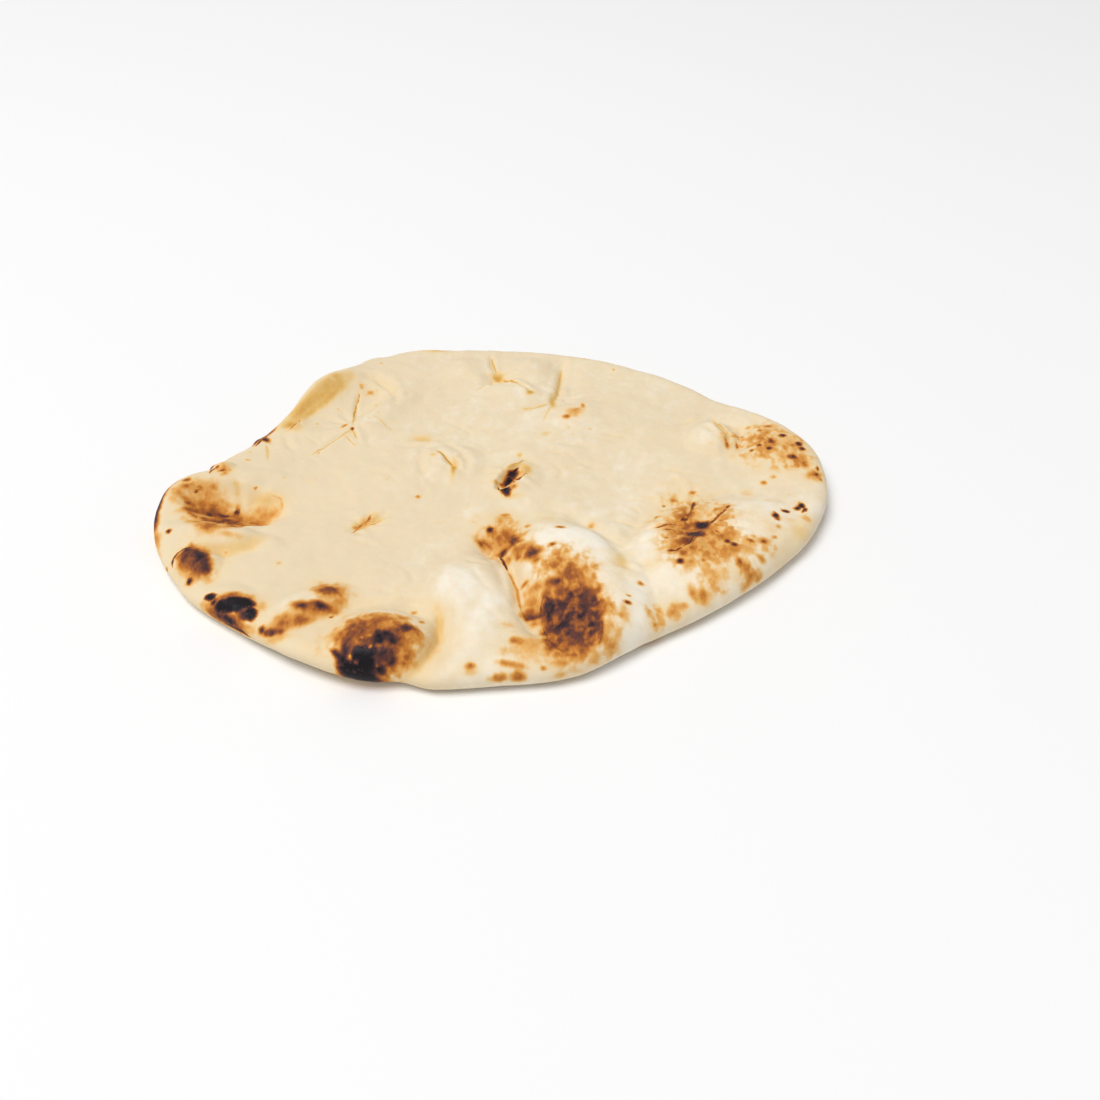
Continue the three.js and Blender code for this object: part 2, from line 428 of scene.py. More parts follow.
@dataclass(frozen=True)
class WrinkleField:
    """Faint short wrinkles strewn over the skin, mostly across the bread."""

    count: int = 70
    reach: float = 88.0
    squash: float = 0.86
    heading_spread: float = 0.5
    bend_spread: float = 0.35
    step: Point = (1.6, 4.2)
    steps: int = 4
    half: Point = (0.7, 1.3)
    depth: Point = (0.12, 0.4)
    tone: Point = (0.02, 0.1)

    def creases(self, seed: int) -> tuple[Crease, ...]:
        """Draws the wrinkles.

        Args:
            seed: Seed of the draws.

        Returns:
            The wrinkles.
        """
        rng = np.random.default_rng(seed)
        found = []
        for _ in range(self.count):
            angle, radius = rng.uniform(0.0, 2.0 * math.pi), self.reach * math.sqrt(rng.uniform())
            x, y = radius * math.cos(angle), self.squash * radius * math.sin(angle)
            heading, bend = rng.normal(0.0, self.heading_spread), rng.normal(0.0, self.bend_spread)
            step = rng.uniform(*self.step)
            line = [(x, y)]
            for _ in range(self.steps):
                x, y = x + step * math.cos(heading), y + step * math.sin(heading)
                heading += bend
                line.append((x, y))
            half, depth, tone = (rng.uniform(*span) for span in (self.half, self.depth, self.tone))
            found.append(Crease(tuple(line), half, depth, tone))
        return tuple(found)


@dataclass(frozen=True)
class Strewing:
    """Round dots strewn over the bread: how many, least and largest radius, how rare large ones are."""

    count: int
    least: float
    largest: float
    rarity: float
    stretch: Point = (0.7, 1.5)
    faintest: float = 0.35
    half_length: float = LENGTH / 2
    half_breadth: float = BREADTH / 2

    def strength(self, x: Array, y: Array, seed: int) -> Array:
        """Draws the dots.

        Args:
            x: Places along X.
            y: Places along Y.
            seed: Seed of the draws.

        Returns:
            The strongest dot at each place, from 0 to 1.
        """
        rng = np.random.default_rng(seed)
        found = np.zeros_like(x)
        for _ in range(self.count):
            dx = x - rng.uniform(-self.half_length, self.half_length)
            dy = y - rng.uniform(-self.half_breadth, self.half_breadth)
            share = rng.uniform() ** self.rarity
            radius = self.least + (self.largest - self.least) * share
            stretch = rng.uniform(*self.stretch)
            out = (dx / stretch) ** 2 + (dy * stretch) ** 2
            level = self.faintest + (1.0 - self.faintest) * share
            found = np.maximum(found, level * np.exp(-out / radius**2))
        return found


class Tone(Enum):
    """What a patch does to the skin under it."""

    TOAST = "toast"
    GOLD = "gold"
    BARE = "bare"


@dataclass(frozen=True)
class Scorch:
    """A toasted patch: an uneven ellipse, browned to a level from 0, pale, to 1, black."""

    at: Point
    half: Point
    turn: float
    level: float
    speckle: float = 0.3
    crisp: float = 2.0
    ragged: float = 0.8
    tone: Tone = Tone.TOAST
    edge_pull: float = 0.4

    def strength(self, x: Array, y: Array, edge: Array) -> tuple[Array, Array]:
        """How much of the patch there is at each place, and how much of the golden glow round it.

        Args:
            x: Places along X.
            y: Places along Y.
            edge: Noise that makes its edge uneven.

        Returns:
            The patch's strength and its glow's, from 0 to 1.
        """
        uneven = 1.0 + self.edge_pull * self.ragged * edge
        out = ellipse_places(x, y, self.at, self.half, self.turn) * uneven
        return np.exp(-np.abs(out) ** self.crisp), bell(out / GLOW_REACH)


@dataclass(frozen=True)
class Streak:
    """A toasted line, such as a burnt fold."""

    line: tuple[Point, ...]
    half: float
    level: float
    ragged: float = 0.8
    speckle: float = 0.1
    tone: Tone = Tone.TOAST
    blunt: float = 2.2
    least: float = 0.08
    fade_pull: float = 1.2
    end_width: float = 0.5
    width_range: Point = (0.5, 1.6)

    def faded(self, edge: Array) -> Array:
        """How much of the streak the uneven browning leaves, from 0 to 1."""
        return np.clip(1.0 + self.fade_pull * self.ragged * edge, 0.0, 1.0)

    def strength(self, x: Array, y: Array, edge: Array) -> tuple[Array, Array]:
        """How much of the streak there is at each place, and how much of the golden glow round it.

        Args:
            x: Places along X.
            y: Places along Y.
            edge: Noise that makes its edge uneven.

        Returns:
            The streak's strength and its glow's, from 0 to 1.
        """
        distance, share = line_places(x, y, self.line)
        drawn = taper(share, self.blunt, self.least)
        out = distance / self.half
        return drawn * self.faded(edge) * bell(out), drawn * bell(out / GLOW_REACH)

    def course(self, x: Array, y: Array, edge: Array) -> tuple[Array, Array]:
        """Where a thin streak runs, for drawing it finer than the mesh.

        Args:
            x: Places along X.
            y: Places along Y.
            edge: Noise that makes it uneven along its length.

        Returns:
            Signed distances from its middle in half-widths, and its level, which is 0 far from it.
        """
        distance, share = line_places(x, y, self.line)
        along = self.end_width + (1.0 - self.end_width) * np.sin(math.pi * share)
        half = self.half * along * np.clip(1.0 + self.ragged * edge, *self.width_range)
        near = 1.0 - smoothstep(*STREAK_NEAR, np.abs(distance))
        return distance / half, self.level * taper(share, self.blunt) * self.faded(edge) * near


Patch = Union[Scorch, Streak]


class ThinStreaks:
    """The strongest thin streak at each place: how far off its middle the place lies, and its level."""

    FAR = 9.0
    REACH = 1.5

    def __init__(self, count: int) -> None:
        """Starts with no streak at any place."""
        self.off = np.full(count, self.FAR)
        self.level = np.zeros(count)
        self.strongest = np.zeros(count)

    def add(self, off: Array, level: Array) -> None:
        """Takes in one streak where it is the strongest.

        Args:
            off: Signed distances from its middle, in half-widths.
            level: Its level.
        """
        strength = level * bell(off / self.REACH)
        stronger = strength > self.strongest
        self.off = np.where(stronger, off, self.off)
        self.level = np.where(stronger, level, self.level)
        self.strongest = np.where(stronger, strength, self.strongest)


@dataclass(frozen=True)
class RimScorch:
    """A burnt stretch of the rim itself, placed by bearing and by how far over the edge it lies."""

    bearing: float
    spread: float
    over: float
    width: float
    level: float
    speckle: float = 0.3
    edge_pull: float = 0.7
    fade_pull: float = 0.9
    begins: Point = (0.0, 0.35)

    def strength(self, bearing: Array, over: Array, edge: Array) -> Array:
        """How much of the burn there is, from 0 to 1.

        Args:
            bearing: Bearings in radians.
            over: How far over the edge: 0 on the upper face, 1 at the rim, 2 on the underside.
            edge: Noise that makes its ends uneven.

        Returns:
            The burn's strength.
        """
        along = bearing_off(bearing, self.bearing) / self.spread
        out = np.hypot(along, (over - self.over) / self.width)
        ragged = bell(out * (1.0 + self.edge_pull * edge)) * np.clip(1.0 + self.fade_pull * edge, 0.0, 1.0)
        return ragged * smoothstep(*self.begins, over)


class Baking:
    """What the oven does to a set of places: how far they are toasted, speckled, gilded and lined."""

    BARE_SPECKLE = 0.8

    def __init__(self, count: int) -> None:
        """Starts with raw dough at every place."""
        self.toast, self.speckle, self.gold = (np.zeros(count) for _ in range(3))
        self.lines = {tone: ThinStreaks(count) for tone in (Tone.TOAST, Tone.GOLD)}
        self.bare: list[tuple[float, Array]] = []

    def add(self, patch: Patch, strength: Array, glow: Array) -> None:
        """Lays one patch over the others.

        Args:
            patch: The patch.
            strength: How much of it there is at each place.
            glow: How much of the glow round it there is.
        """
        if patch.tone is Tone.BARE:
            self.bare.append((patch.level, strength))
        elif patch.tone is Tone.GOLD:
            self.gold += (patch.level * strength) ** PATCH_BLEND
            self.gold += (GOLD_GLOW_SHARE * patch.level * glow) ** PATCH_BLEND
        else:
            halo = min(GLOW_MOST, GLOW_SHARE * patch.level)
            self.toast += (patch.level * strength) ** PATCH_BLEND + (halo * glow) ** PATCH_BLEND
            self.speckle = np.maximum(self.speckle, patch.speckle * np.sqrt(strength))

    def burn(self, rim: RimScorch, strength: Array) -> None:
        """Burns a stretch of the rim.

        Args:
            rim: The burnt stretch.
            strength: How much of the burn there is at each place.
        """
        self.toast += (rim.level * strength) ** PATCH_BLEND
        self.speckle = np.maximum(self.speckle, rim.speckle * strength)

    def levels(self) -> dict[str, Array]:
        """The baked places, with the bare flecks lightened.

        Returns:
            Toasting, from 0, pale, to 1, black; the share covered with speckles; how golden it is; and for
            toasted and golden thin streaks their level, "line", and half-widths off their middle, "off".
        """
        toast, speckle = self.toast ** (1.0 / PATCH_BLEND), self.speckle
        for level, strength in self.bare:
            toast = toast + (level - toast) * strength
            speckle = speckle * (1.0 - self.BARE_SPECKLE * strength)
        found = {"toast": toast, "speckle": speckle, "gold": self.gold ** (1.0 / PATCH_BLEND)}
        for tone, streaks in self.lines.items():
            found[f"{tone.value}_line"] = streaks.level
            found[f"{tone.value}_off"] = streaks.off
        return found


@dataclass(frozen=True)
class RimBump:
    """A short stretch of the rim that stands out or, with a negative reach, in."""

    bearing: float
    spread: float
    reach: float

    def out(self, bearing: Array) -> Array:
        """How far the rim stands out at each bearing, given in radians."""
        return self.reach * bell(bearing_off(bearing, self.bearing) / self.spread)


@dataclass(frozen=True)
class Outline:
    """The hand-stretched outline, as distances from the middle to the rim in equal steps of bearing."""

    length: float = LENGTH
    breadth: float = BREADTH
    reach: tuple[float, ...] = (
        120, 119, 109.5, 104.5, 104, 103.2, 105, 107.8, 107.2, 101, 96, 96.5,
        113.5, 120, 117.5, 112.5, 111, 109.5, 104.8, 104, 98.5, 100, 105.5, 114,
    )  # fmt: skip
    bumps: tuple[RimBump, ...] = (
        RimBump(110.5, 6.0, 3.2),
        RimBump(120.5, 4.0, 3.2),
        RimBump(160.5, 6.0, 1.2),
        RimBump(162.0, 1.8, 1.0),
        RimBump(175.5, 1.1, 1.6),
        RimBump(176.5, 4.5, -5.5),
        RimBump(178.5, 1.2, -2.2),
        RimBump(256.5, 4.0, -3.2),
    )
    samples: int = 720

    def rim(self, bearing: Array) -> Array:
        """Distance to the rim by a closed curve through the reach values, with its bumps.

        Args:
            bearing: Bearings in radians.

        Returns:
            The distances.
        """
        count = len(self.reach)
        place = (bearing / (2.0 * math.pi) * count) % count
        i = np.floor(place).astype(int)
        t = place - i
        a, b, c, d = (np.array(self.reach)[(i + k) % count] for k in (-1, 0, 1, 2))
        smooth = b + 0.5 * t * (c - a + t * (2 * a - 5 * b + 4 * c - d + t * (3 * (b - c) + d - a)))
        return sum((bump.out(bearing) for bump in self.bumps), smooth)

    def plan(self, bearing: Array, radius: Array) -> tuple[Array, Array]:
        """Places in plan, with the outline's box set to its length and breadth about the origin.

        Args:
            bearing: Bearings in radians.
            radius: Distances from the middle.

        Returns:
            Places along X and along Y.
        """
        around = np.linspace(0.0, 2.0 * math.pi, self.samples, endpoint=False)
        rim = self.rim(around)
        edge_x, edge_y = rim * np.cos(around), rim * np.sin(around)
        x = (radius * np.cos(bearing) - (edge_x.min() + edge_x.max()) / 2) * self.length / np.ptp(edge_x)
        y = (radius * np.sin(bearing) - (edge_y.min() + edge_y.max()) / 2) * self.breadth / np.ptp(edge_y)
        return x, y


@dataclass(frozen=True)
class Rings:
    """How one face is divided: rings from the middle out, the last few of them round the edge."""

    count: int
    roll: int
    roll_share: float
    side: int
    sectors: int = 6

    def spread(self) -> tuple[Array, Array, Array]:
        """Ring of each point, its bearing, and how far round the edge it lies.

        Returns:
            Ring numbers, bearings in radians, and turns from 0 on the face to roll_share at the last ring.
        """
        sizes = [max(1, self.sectors * k) for k in range(self.count + 1)]
        ring = np.repeat(np.arange(self.count + 1), sizes)
        bearing = np.concatenate([2.0 * math.pi * np.arange(n) / n for n in sizes])
        turn = np.clip((ring - (self.count - self.roll)) / self.roll, 0.0, 1.0) * self.roll_share
        return ring, bearing, turn

    def start(self, ring: int) -> int:
        """First point of a ring."""
        return 0 if ring == 0 else 1 + self.sectors // 2 * ring * (ring - 1)

    def points(self, ring: int, i: Array) -> Array:
        """Points of a ring, counted round and round."""
        return self.start(ring) + (np.zeros_like(i) if ring == 0 else i % (self.sectors * ring))

    def triangles(self) -> Array:
        """The face's triangles, anticlockwise seen from above.

        Returns:
            Three point numbers a row.
        """
        found = []
        for ring in range(self.count):
            sector = np.repeat(np.arange(self.sectors), ring + 1)
            i = np.tile(np.arange(ring + 1), self.sectors)
            inner = self.points(ring, sector * ring + i)
            outer = self.points(ring + 1, sector * (ring + 1) + i)
            following = self.points(ring + 1, sector * (ring + 1) + i + 1)
            found.append(np.stack([inner, outer, following], 1))
            between = i < ring
            beside = self.points(ring, sector * ring + i + 1)
            found.append(np.stack([inner, following, beside], 1)[between])
        return np.concatenate(found)


@dataclass(frozen=True)
class Grain:
    """How coarse a cloudy noise is: millimetres between bumps, finer layers, and those layers' strength."""

    wave: float
    detail: float
    rough: float


class ShaderValue:
    """A number that varies over the surface, used in Python sums."""

    def __init__(self, graph: ShaderGraph, socket: bpy.types.NodeSocket) -> None:
        """Keeps the graph and the socket that gives the number."""
        self.graph = graph
        self.socket = socket

    def math(self, operation: str, first: Any, second: Any = 0.0) -> ShaderValue:
        """Adds one Math node.

        Args:
            operation: The node's operation.
            first: Its first number.
            second: Its second number.

        Returns:
            The result.
        """
        node = self.graph.node("ShaderNodeMath", {"operation": operation}, {0: first, 1: second})
        return ShaderValue(self.graph, node.outputs[0])

    def __add__(self, other: Any) -> ShaderValue:
        """Sum."""
        return self.math("ADD", self, other)

    def __radd__(self, other: Any) -> ShaderValue:
        """Sum, the other way round."""
        return self.math("ADD", other, self)

    def __sub__(self, other: Any) -> ShaderValue:
        """Difference."""
        return self.math("SUBTRACT", self, other)

    def __rsub__(self, other: Any) -> ShaderValue:
        """Difference, the other way round."""
        return self.math("SUBTRACT", other, self)

    def __mul__(self, other: Any) -> ShaderValue:
        """Product."""
        return self.math("MULTIPLY", self, other)

    def __rmul__(self, other: Any) -> ShaderValue:
        """Product, the other way round."""
        return self.math("MULTIPLY", other, self)

    def at_least(self, other: Any) -> ShaderValue:
        """The larger of two numbers."""
        return self.math("MAXIMUM", self, other)

    def size(self) -> ShaderValue:
        """The number without its sign."""
        return self.math("ABSOLUTE", self)

    def between(self, low: float, high: float) -> ShaderValue:
        """Rises smoothly from 0 at low to 1 at high.

        Args:
            low: Value where the rise begins.
            high: Value where it ends.

        Returns:
            The mapped number.
        """
        sockets = {"Value": self, "From Min": low, "From Max": high}
        node = self.graph.node("ShaderNodeMapRange", {"interpolation_type": "SMOOTHSTEP"}, sockets)
        return ShaderValue(self.graph, node.outputs[0])


class ShaderGraph:
    """The nodes of one material."""

    def __init__(self, name: str) -> None:
        """Starts an empty material of that name."""
        self.material = bpy.data.materials.new(name)
        self.material.use_nodes = True
        self.material.node_tree.nodes.clear()

    def node(
        self,
        kind: str,
        settings: dict[str, Any] | None = None,
        sockets: dict[Union[str, int], Any] | None = None,
    ) -> bpy.types.Node:
        """Adds a node, sets it up and fills its sockets.

        Args:
            kind: The node's type.
            settings: Its properties, or a ramp's stops as "stops".
            sockets: Values, or sockets to link from, by socket name or number.

        Returns:
            The node.
        """
        made = self.material.node_tree.nodes.new(kind)
        for key, value in (settings or {}).items():
            if key == "stops":
                self.fill_ramp(made.color_ramp, value)
            else:
                setattr(made, key, value)
        for key, value in (sockets or {}).items():
            source = value.socket if isinstance(value, ShaderValue) else value
            if isinstance(source, bpy.types.NodeSocket):
                self.material.node_tree.links.new(source, made.inputs[key])
            else:
                made.inputs[key].default_value = source
        return made

    @staticmethod
    def fill_ramp(ramp: bpy.types.ColorRamp, stops: Sequence[tuple[float, Sequence[float]]]) -> None:
        """Sets a ramp's stops.

        Args:
            ramp: The ramp.
            stops: Place and colour of each stop, from low to high.
        """
        while len(ramp.elements) < len(stops):
            ramp.elements.new(1.0)
        for element, (place, colour) in zip(ramp.elements, stops):
            element.position = place
            element.color = colour

    def attribute(self, name: str) -> ShaderValue:
        """A number kept on the mesh's points."""
        node = self.node("ShaderNodeAttribute", {"attribute_name": name})
        return ShaderValue(self, node.outputs["Fac"])

    def baked(self, name: str) -> ShaderValue:
        """A baked level kept on the mesh's points, with the thin streaks of its kind drawn over it."""
        streak = 1.0 - self.attribute(f"{name}_off").size().between(0.0, STREAK_END)
        return self.attribute(name).at_least(self.attribute(f"{name}_line") * streak * streak)

    def noise(self, place: bpy.types.NodeSocket, grain: Grain) -> ShaderValue:
        """Cloudy noise, about 0 to 1.

        Args:
            place: Coordinates in metres.
            grain: How coarse it is.

        Returns:
            The noise.
        """
        scale = 1.0 / (grain.wave * MM)
        sockets = {"Vector": place, "Scale": scale, "Detail": grain.detail, "Roughness": grain.rough}
        return ShaderValue(self, self.node("ShaderNodeTexNoise", {}, sockets).outputs[0])

    def ramp(self, level: ShaderValue, stops: Sequence[tuple[float, Colour]]) -> bpy.types.NodeSocket:
        """A colour that follows a level.

        Args:
            level: The level.
            stops: Place and colour of each stop, from low to high.

        Returns:
            The colour's socket.
        """
        return self.node("ShaderNodeValToRGB", {"stops": stops}, {"Fac": level}).outputs["Color"]

    def mix(self, share: Any, first: Any, second: Any) -> bpy.types.NodeSocket:
        """Blends two colours.

        Args:
            share: How much of the second colour there is.
            first: The first colour or its socket.
            second: The second colour or its socket.

        Returns:
            The blended colour's socket.
        """
        sockets = {0: share, 6: first, 7: second}
        return self.node("ShaderNodeMix", {"data_type": "RGBA"}, sockets).outputs[2]

    def surface(self, sockets: dict[str, Any]) -> None:
        """Adds the surface's shader and links it to the material's output.

        Args:
            sockets: The shader's values, or sockets to link from, by socket name.
        """
        shader = self.node("ShaderNodeBsdfPrincipled", {}, sockets)
        self.node("ShaderNodeOutputMaterial", {}, {"Surface": shader.outputs["BSDF"]})


@dataclass(frozen=True)
class CrustFinish:
    """The bread's skin: pale dough that turns golden, brown, purple-brown and black as it is toasted."""

    dough: Colour = linear(233, 214, 180)
    # The palest dough, which the random lightness and the painted highlight lean towards
    pale_dough: Colour = linear(248, 241, 226)
    browning: tuple[tuple[float, Colour], ...] = (
        (0.00, linear(238, 219, 180)),
        (0.14, linear(236, 204, 149)),
        (0.26, linear(229, 176, 102)),
        (0.38, linear(209, 140, 60)),
        (0.50, linear(177, 104, 42)),
        (0.62, linear(138, 78, 42)),
        (0.74, linear(98, 57, 48)),
        (0.87, linear(57, 39, 43)),
        (1.00, linear(24, 20, 24)),
    )
    gilding: tuple[tuple[float, Colour], ...] = (
        (0.00, linear(238, 219, 180)),
        (0.14, linear(234, 203, 146)),
        (0.26, linear(226, 185, 112)),
        (0.38, linear(212, 161, 76)),
        (0.50, linear(188, 138, 55)),
        (0.70, linear(150, 100, 42)),
        (1.00, linear(92, 56, 28)),
    )
    # The five noises of the skin
    mottle: Grain = Grain(2.8, 1.6, 0.5)
    fleck: Grain = Grain(1.2, 2.0, 0.55)
    cloud: Grain = Grain(30.0, 3.0, 0.55)
    patch: Grain = Grain(7.0, 3.0, 0.55)
    pore: Grain = Grain(0.8, 2.0, 0.5)
    # Speckles in a toasted patch: how sharp, how deep, what the skin between them loses, where they begin
    spot_edge: float = 0.13
    spot_depth: float = 0.42
    spot_loss: float = 0.33
    spot_toast: float = 0.2
    # Paler flecks on the char, partly crumbs and partly painted glints: how sharp, on what toasting, and how
    # pale
    crumb_glint_edge: Point = (0.15, 0.22)
    crumb_glint_toast: Point = (0.72, 0.95)
    crumb_glint_lift: float = 0.35
    # How far the noises shift the toasting, the gold and the dough's lightness
    toast_fleck: float = 0.45
    toast_patch: float = 0.3
    toast_stray: float = 0.05
    gold_fleck: float = 0.3
    gold_patch: float = 0.4
    gold_stray: float = 0.06
    light_cloud: float = 0.7
    light_patch: float = 0.8
    light_mottle: float = 0.5
    light_even: float = 0.15
    # Levels by which gold and toasting cover what lies under them, and where the char begins
    gold_covers: float = 0.2
    toast_covers: float = 0.26
    char_toast: Point = (0.72, 1.0)
    # Gloss, fine bumps, and the light that sinks in
    skin_rough: float = 0.62
    char_rough: float = 0.42
    fleck_rough: float = 0.12
    specular: float = 0.16
    pore_height: float = 0.25
    spot_height: float = 0.8
    fleck_height: float = 0.8
    bump_depth: float = 0.35
    bump_strength: float = 0.7
    glow_weight: float = 0.12
    glow_radius: tuple[float, float, float] = (1.0, 0.55, 0.25)
    glow_depth: float = 1.8

    def material(self, name: str) -> bpy.types.Material:
        """Makes the skin's material, which reads what the mesh's points carry.

        Args:
            name: The material's name.

        Returns:
            The material.
        """
        graph = ShaderGraph(name)
        even = graph.node("ShaderNodeTexCoord").outputs["Object"]
        drawn = {"Vector": even, "Scale": (1.0, DRAWN_OUT, 1.0)}
        place = graph.node("ShaderNodeMapping", {}, drawn).outputs["Vector"]
        grains = (self.mottle, self.fleck, self.cloud, self.patch, self.pore)
        mottle, fleck, cloud, patch, pore = (graph.noise(place, grain) - 0.5 for grain in grains)
        toast, golden = graph.baked("toast"), graph.baked("gold")
        # pale is painted light on the dough: painted highlight on puffed skin and painted shade towards the
        # left end
        speckled, pale = graph.attribute("speckle"), graph.attribute("pale")
        spots = mottle.between(-self.spot_edge, self.spot_edge) * speckled
        # Paler flecks on the char: partly crumbs, partly painted glints
        crumbs_and_glints = fleck.between(*self.crumb_glint_edge) * toast.between(*self.crumb_glint_toast)
        deeper = (spots - speckled * self.spot_loss) * self.spot_depth * toast.between(0.0, self.spot_toast)
        uneven = toast * (fleck * self.toast_fleck + patch * self.toast_patch) + patch * self.toast_stray
        level = toast + deeper - crumbs_and_glints * self.crumb_glint_lift + uneven
        gilded = golden * (fleck * self.gold_fleck + patch * self.gold_patch + 1.0) + patch * self.gold_stray
        # The dough's lightness: the painted highlight and shade that pale carries, plus random cloudy
        # unevenness
        shade = cloud * self.light_cloud + patch * self.light_patch + mottle * self.light_mottle
        light = (pale + shade + self.light_even).between(0.0, 1.0)
        dough = graph.mix(light, self.dough, self.pale_dough)
        skin = graph.mix(gilded.between(0.0, self.gold_covers), dough, graph.ramp(gilded, self.gilding))
        colour = graph.mix(level.between(0.0, self.toast_covers), skin, graph.ramp(level, self.browning))
        char = level.between(*self.char_toast)
        rough = self.skin_rough - char * (self.skin_rough - self.char_rough) + fleck * self.fleck_rough
        height = pore * self.pore_height + spots * self.spot_height + toast * (fleck * self.fleck_height)
        bump = {"Strength": self.bump_strength, "Distance": self.bump_depth * MM, "Height": height}
        graph.surface(
            {
                "Base Color": colour,
                "Roughness": rough,
                "Normal": graph.node("ShaderNodeBump", {}, bump).outputs["Normal"],
                "Specular IOR Level": self.specular,
                "Subsurface Weight": self.glow_weight,
                "Subsurface Radius": self.glow_radius,
                "Subsurface Scale": self.glow_depth * MM,
            }
        )
        return graph.material


@dataclass(frozen=True)
class PaperFinish:
    """The floor's plain pale paper."""

    colour: Colour = (0.93, 0.93, 0.93, 1.0)
    rough: float = 0.9
    specular: float = 0.1

    def material(self, name: str) -> bpy.types.Material:
        """Makes the paper's material.

        Args:
            name: The material's name.

        Returns:
            The material.
        """
        graph = ShaderGraph(name)
        sockets = {"Base Color": self.colour, "Roughness": self.rough, "Specular IOR Level": self.specular}
        graph.surface(sockets)
        return graph.material


def dot(x: float, y: float, radius: float, level: float) -> Scorch:
    """A small burnt dot."""
    return Scorch((x, y), (radius, radius), 0, level, speckle=0.0, crisp=2.2, ragged=1.0)


def bare(at: Point, half: Point, turn: float, level: float) -> Scorch:
    """A fleck of skin lighter inside a burnt patch: mostly skin that stayed lighter, one a painted
    highlight.
    """
    return Scorch(at, half, turn, level, speckle=0.0, ragged=0.6, tone=Tone.BARE)


def gold(at: Point, half: Point, turn: float, level: float, crisp: float = 2.0) -> Scorch:
    """A golden patch that is baked but not burnt; one is painted shade in a valley."""
    return Scorch(at, half, turn, level, speckle=0.0, crisp=crisp, tone=Tone.GOLD)


def gilt(line: tuple[Point, ...], half: float, level: float, ragged: float) -> Streak:
    """A golden line, such as the bottom of a pinch; some are painted shade in grooves."""
    return Streak(line, half, level, speckle=0.0, ragged=ragged, tone=Tone.GOLD)


def arc(at: Point, half: Point, turn: float, start: float, end: float, steps: int = 12) -> tuple[Point, ...]:
    """Part of an ellipse's edge.

    Args:
        at: The ellipse's middle.
        half: Half-lengths along and across.
        turn: Turn in degrees.
        start: Angle of the first point, in degrees from the long axis.
        end: Angle of the last point.
        steps: How many straight pieces it has.

    Returns:
        Points along the edge.
    """
    c, s = math.cos(math.radians(turn)), math.sin(math.radians(turn))
    points = []
    for i in range(steps + 1):
        angle = math.radians(start + (end - start) * i / steps)
        along, across = half[0] * math.cos(angle), half[1] * math.sin(angle)
        points.append((at[0] + c * along - s * across, at[1] + s * along + c * across))
    return tuple(points)


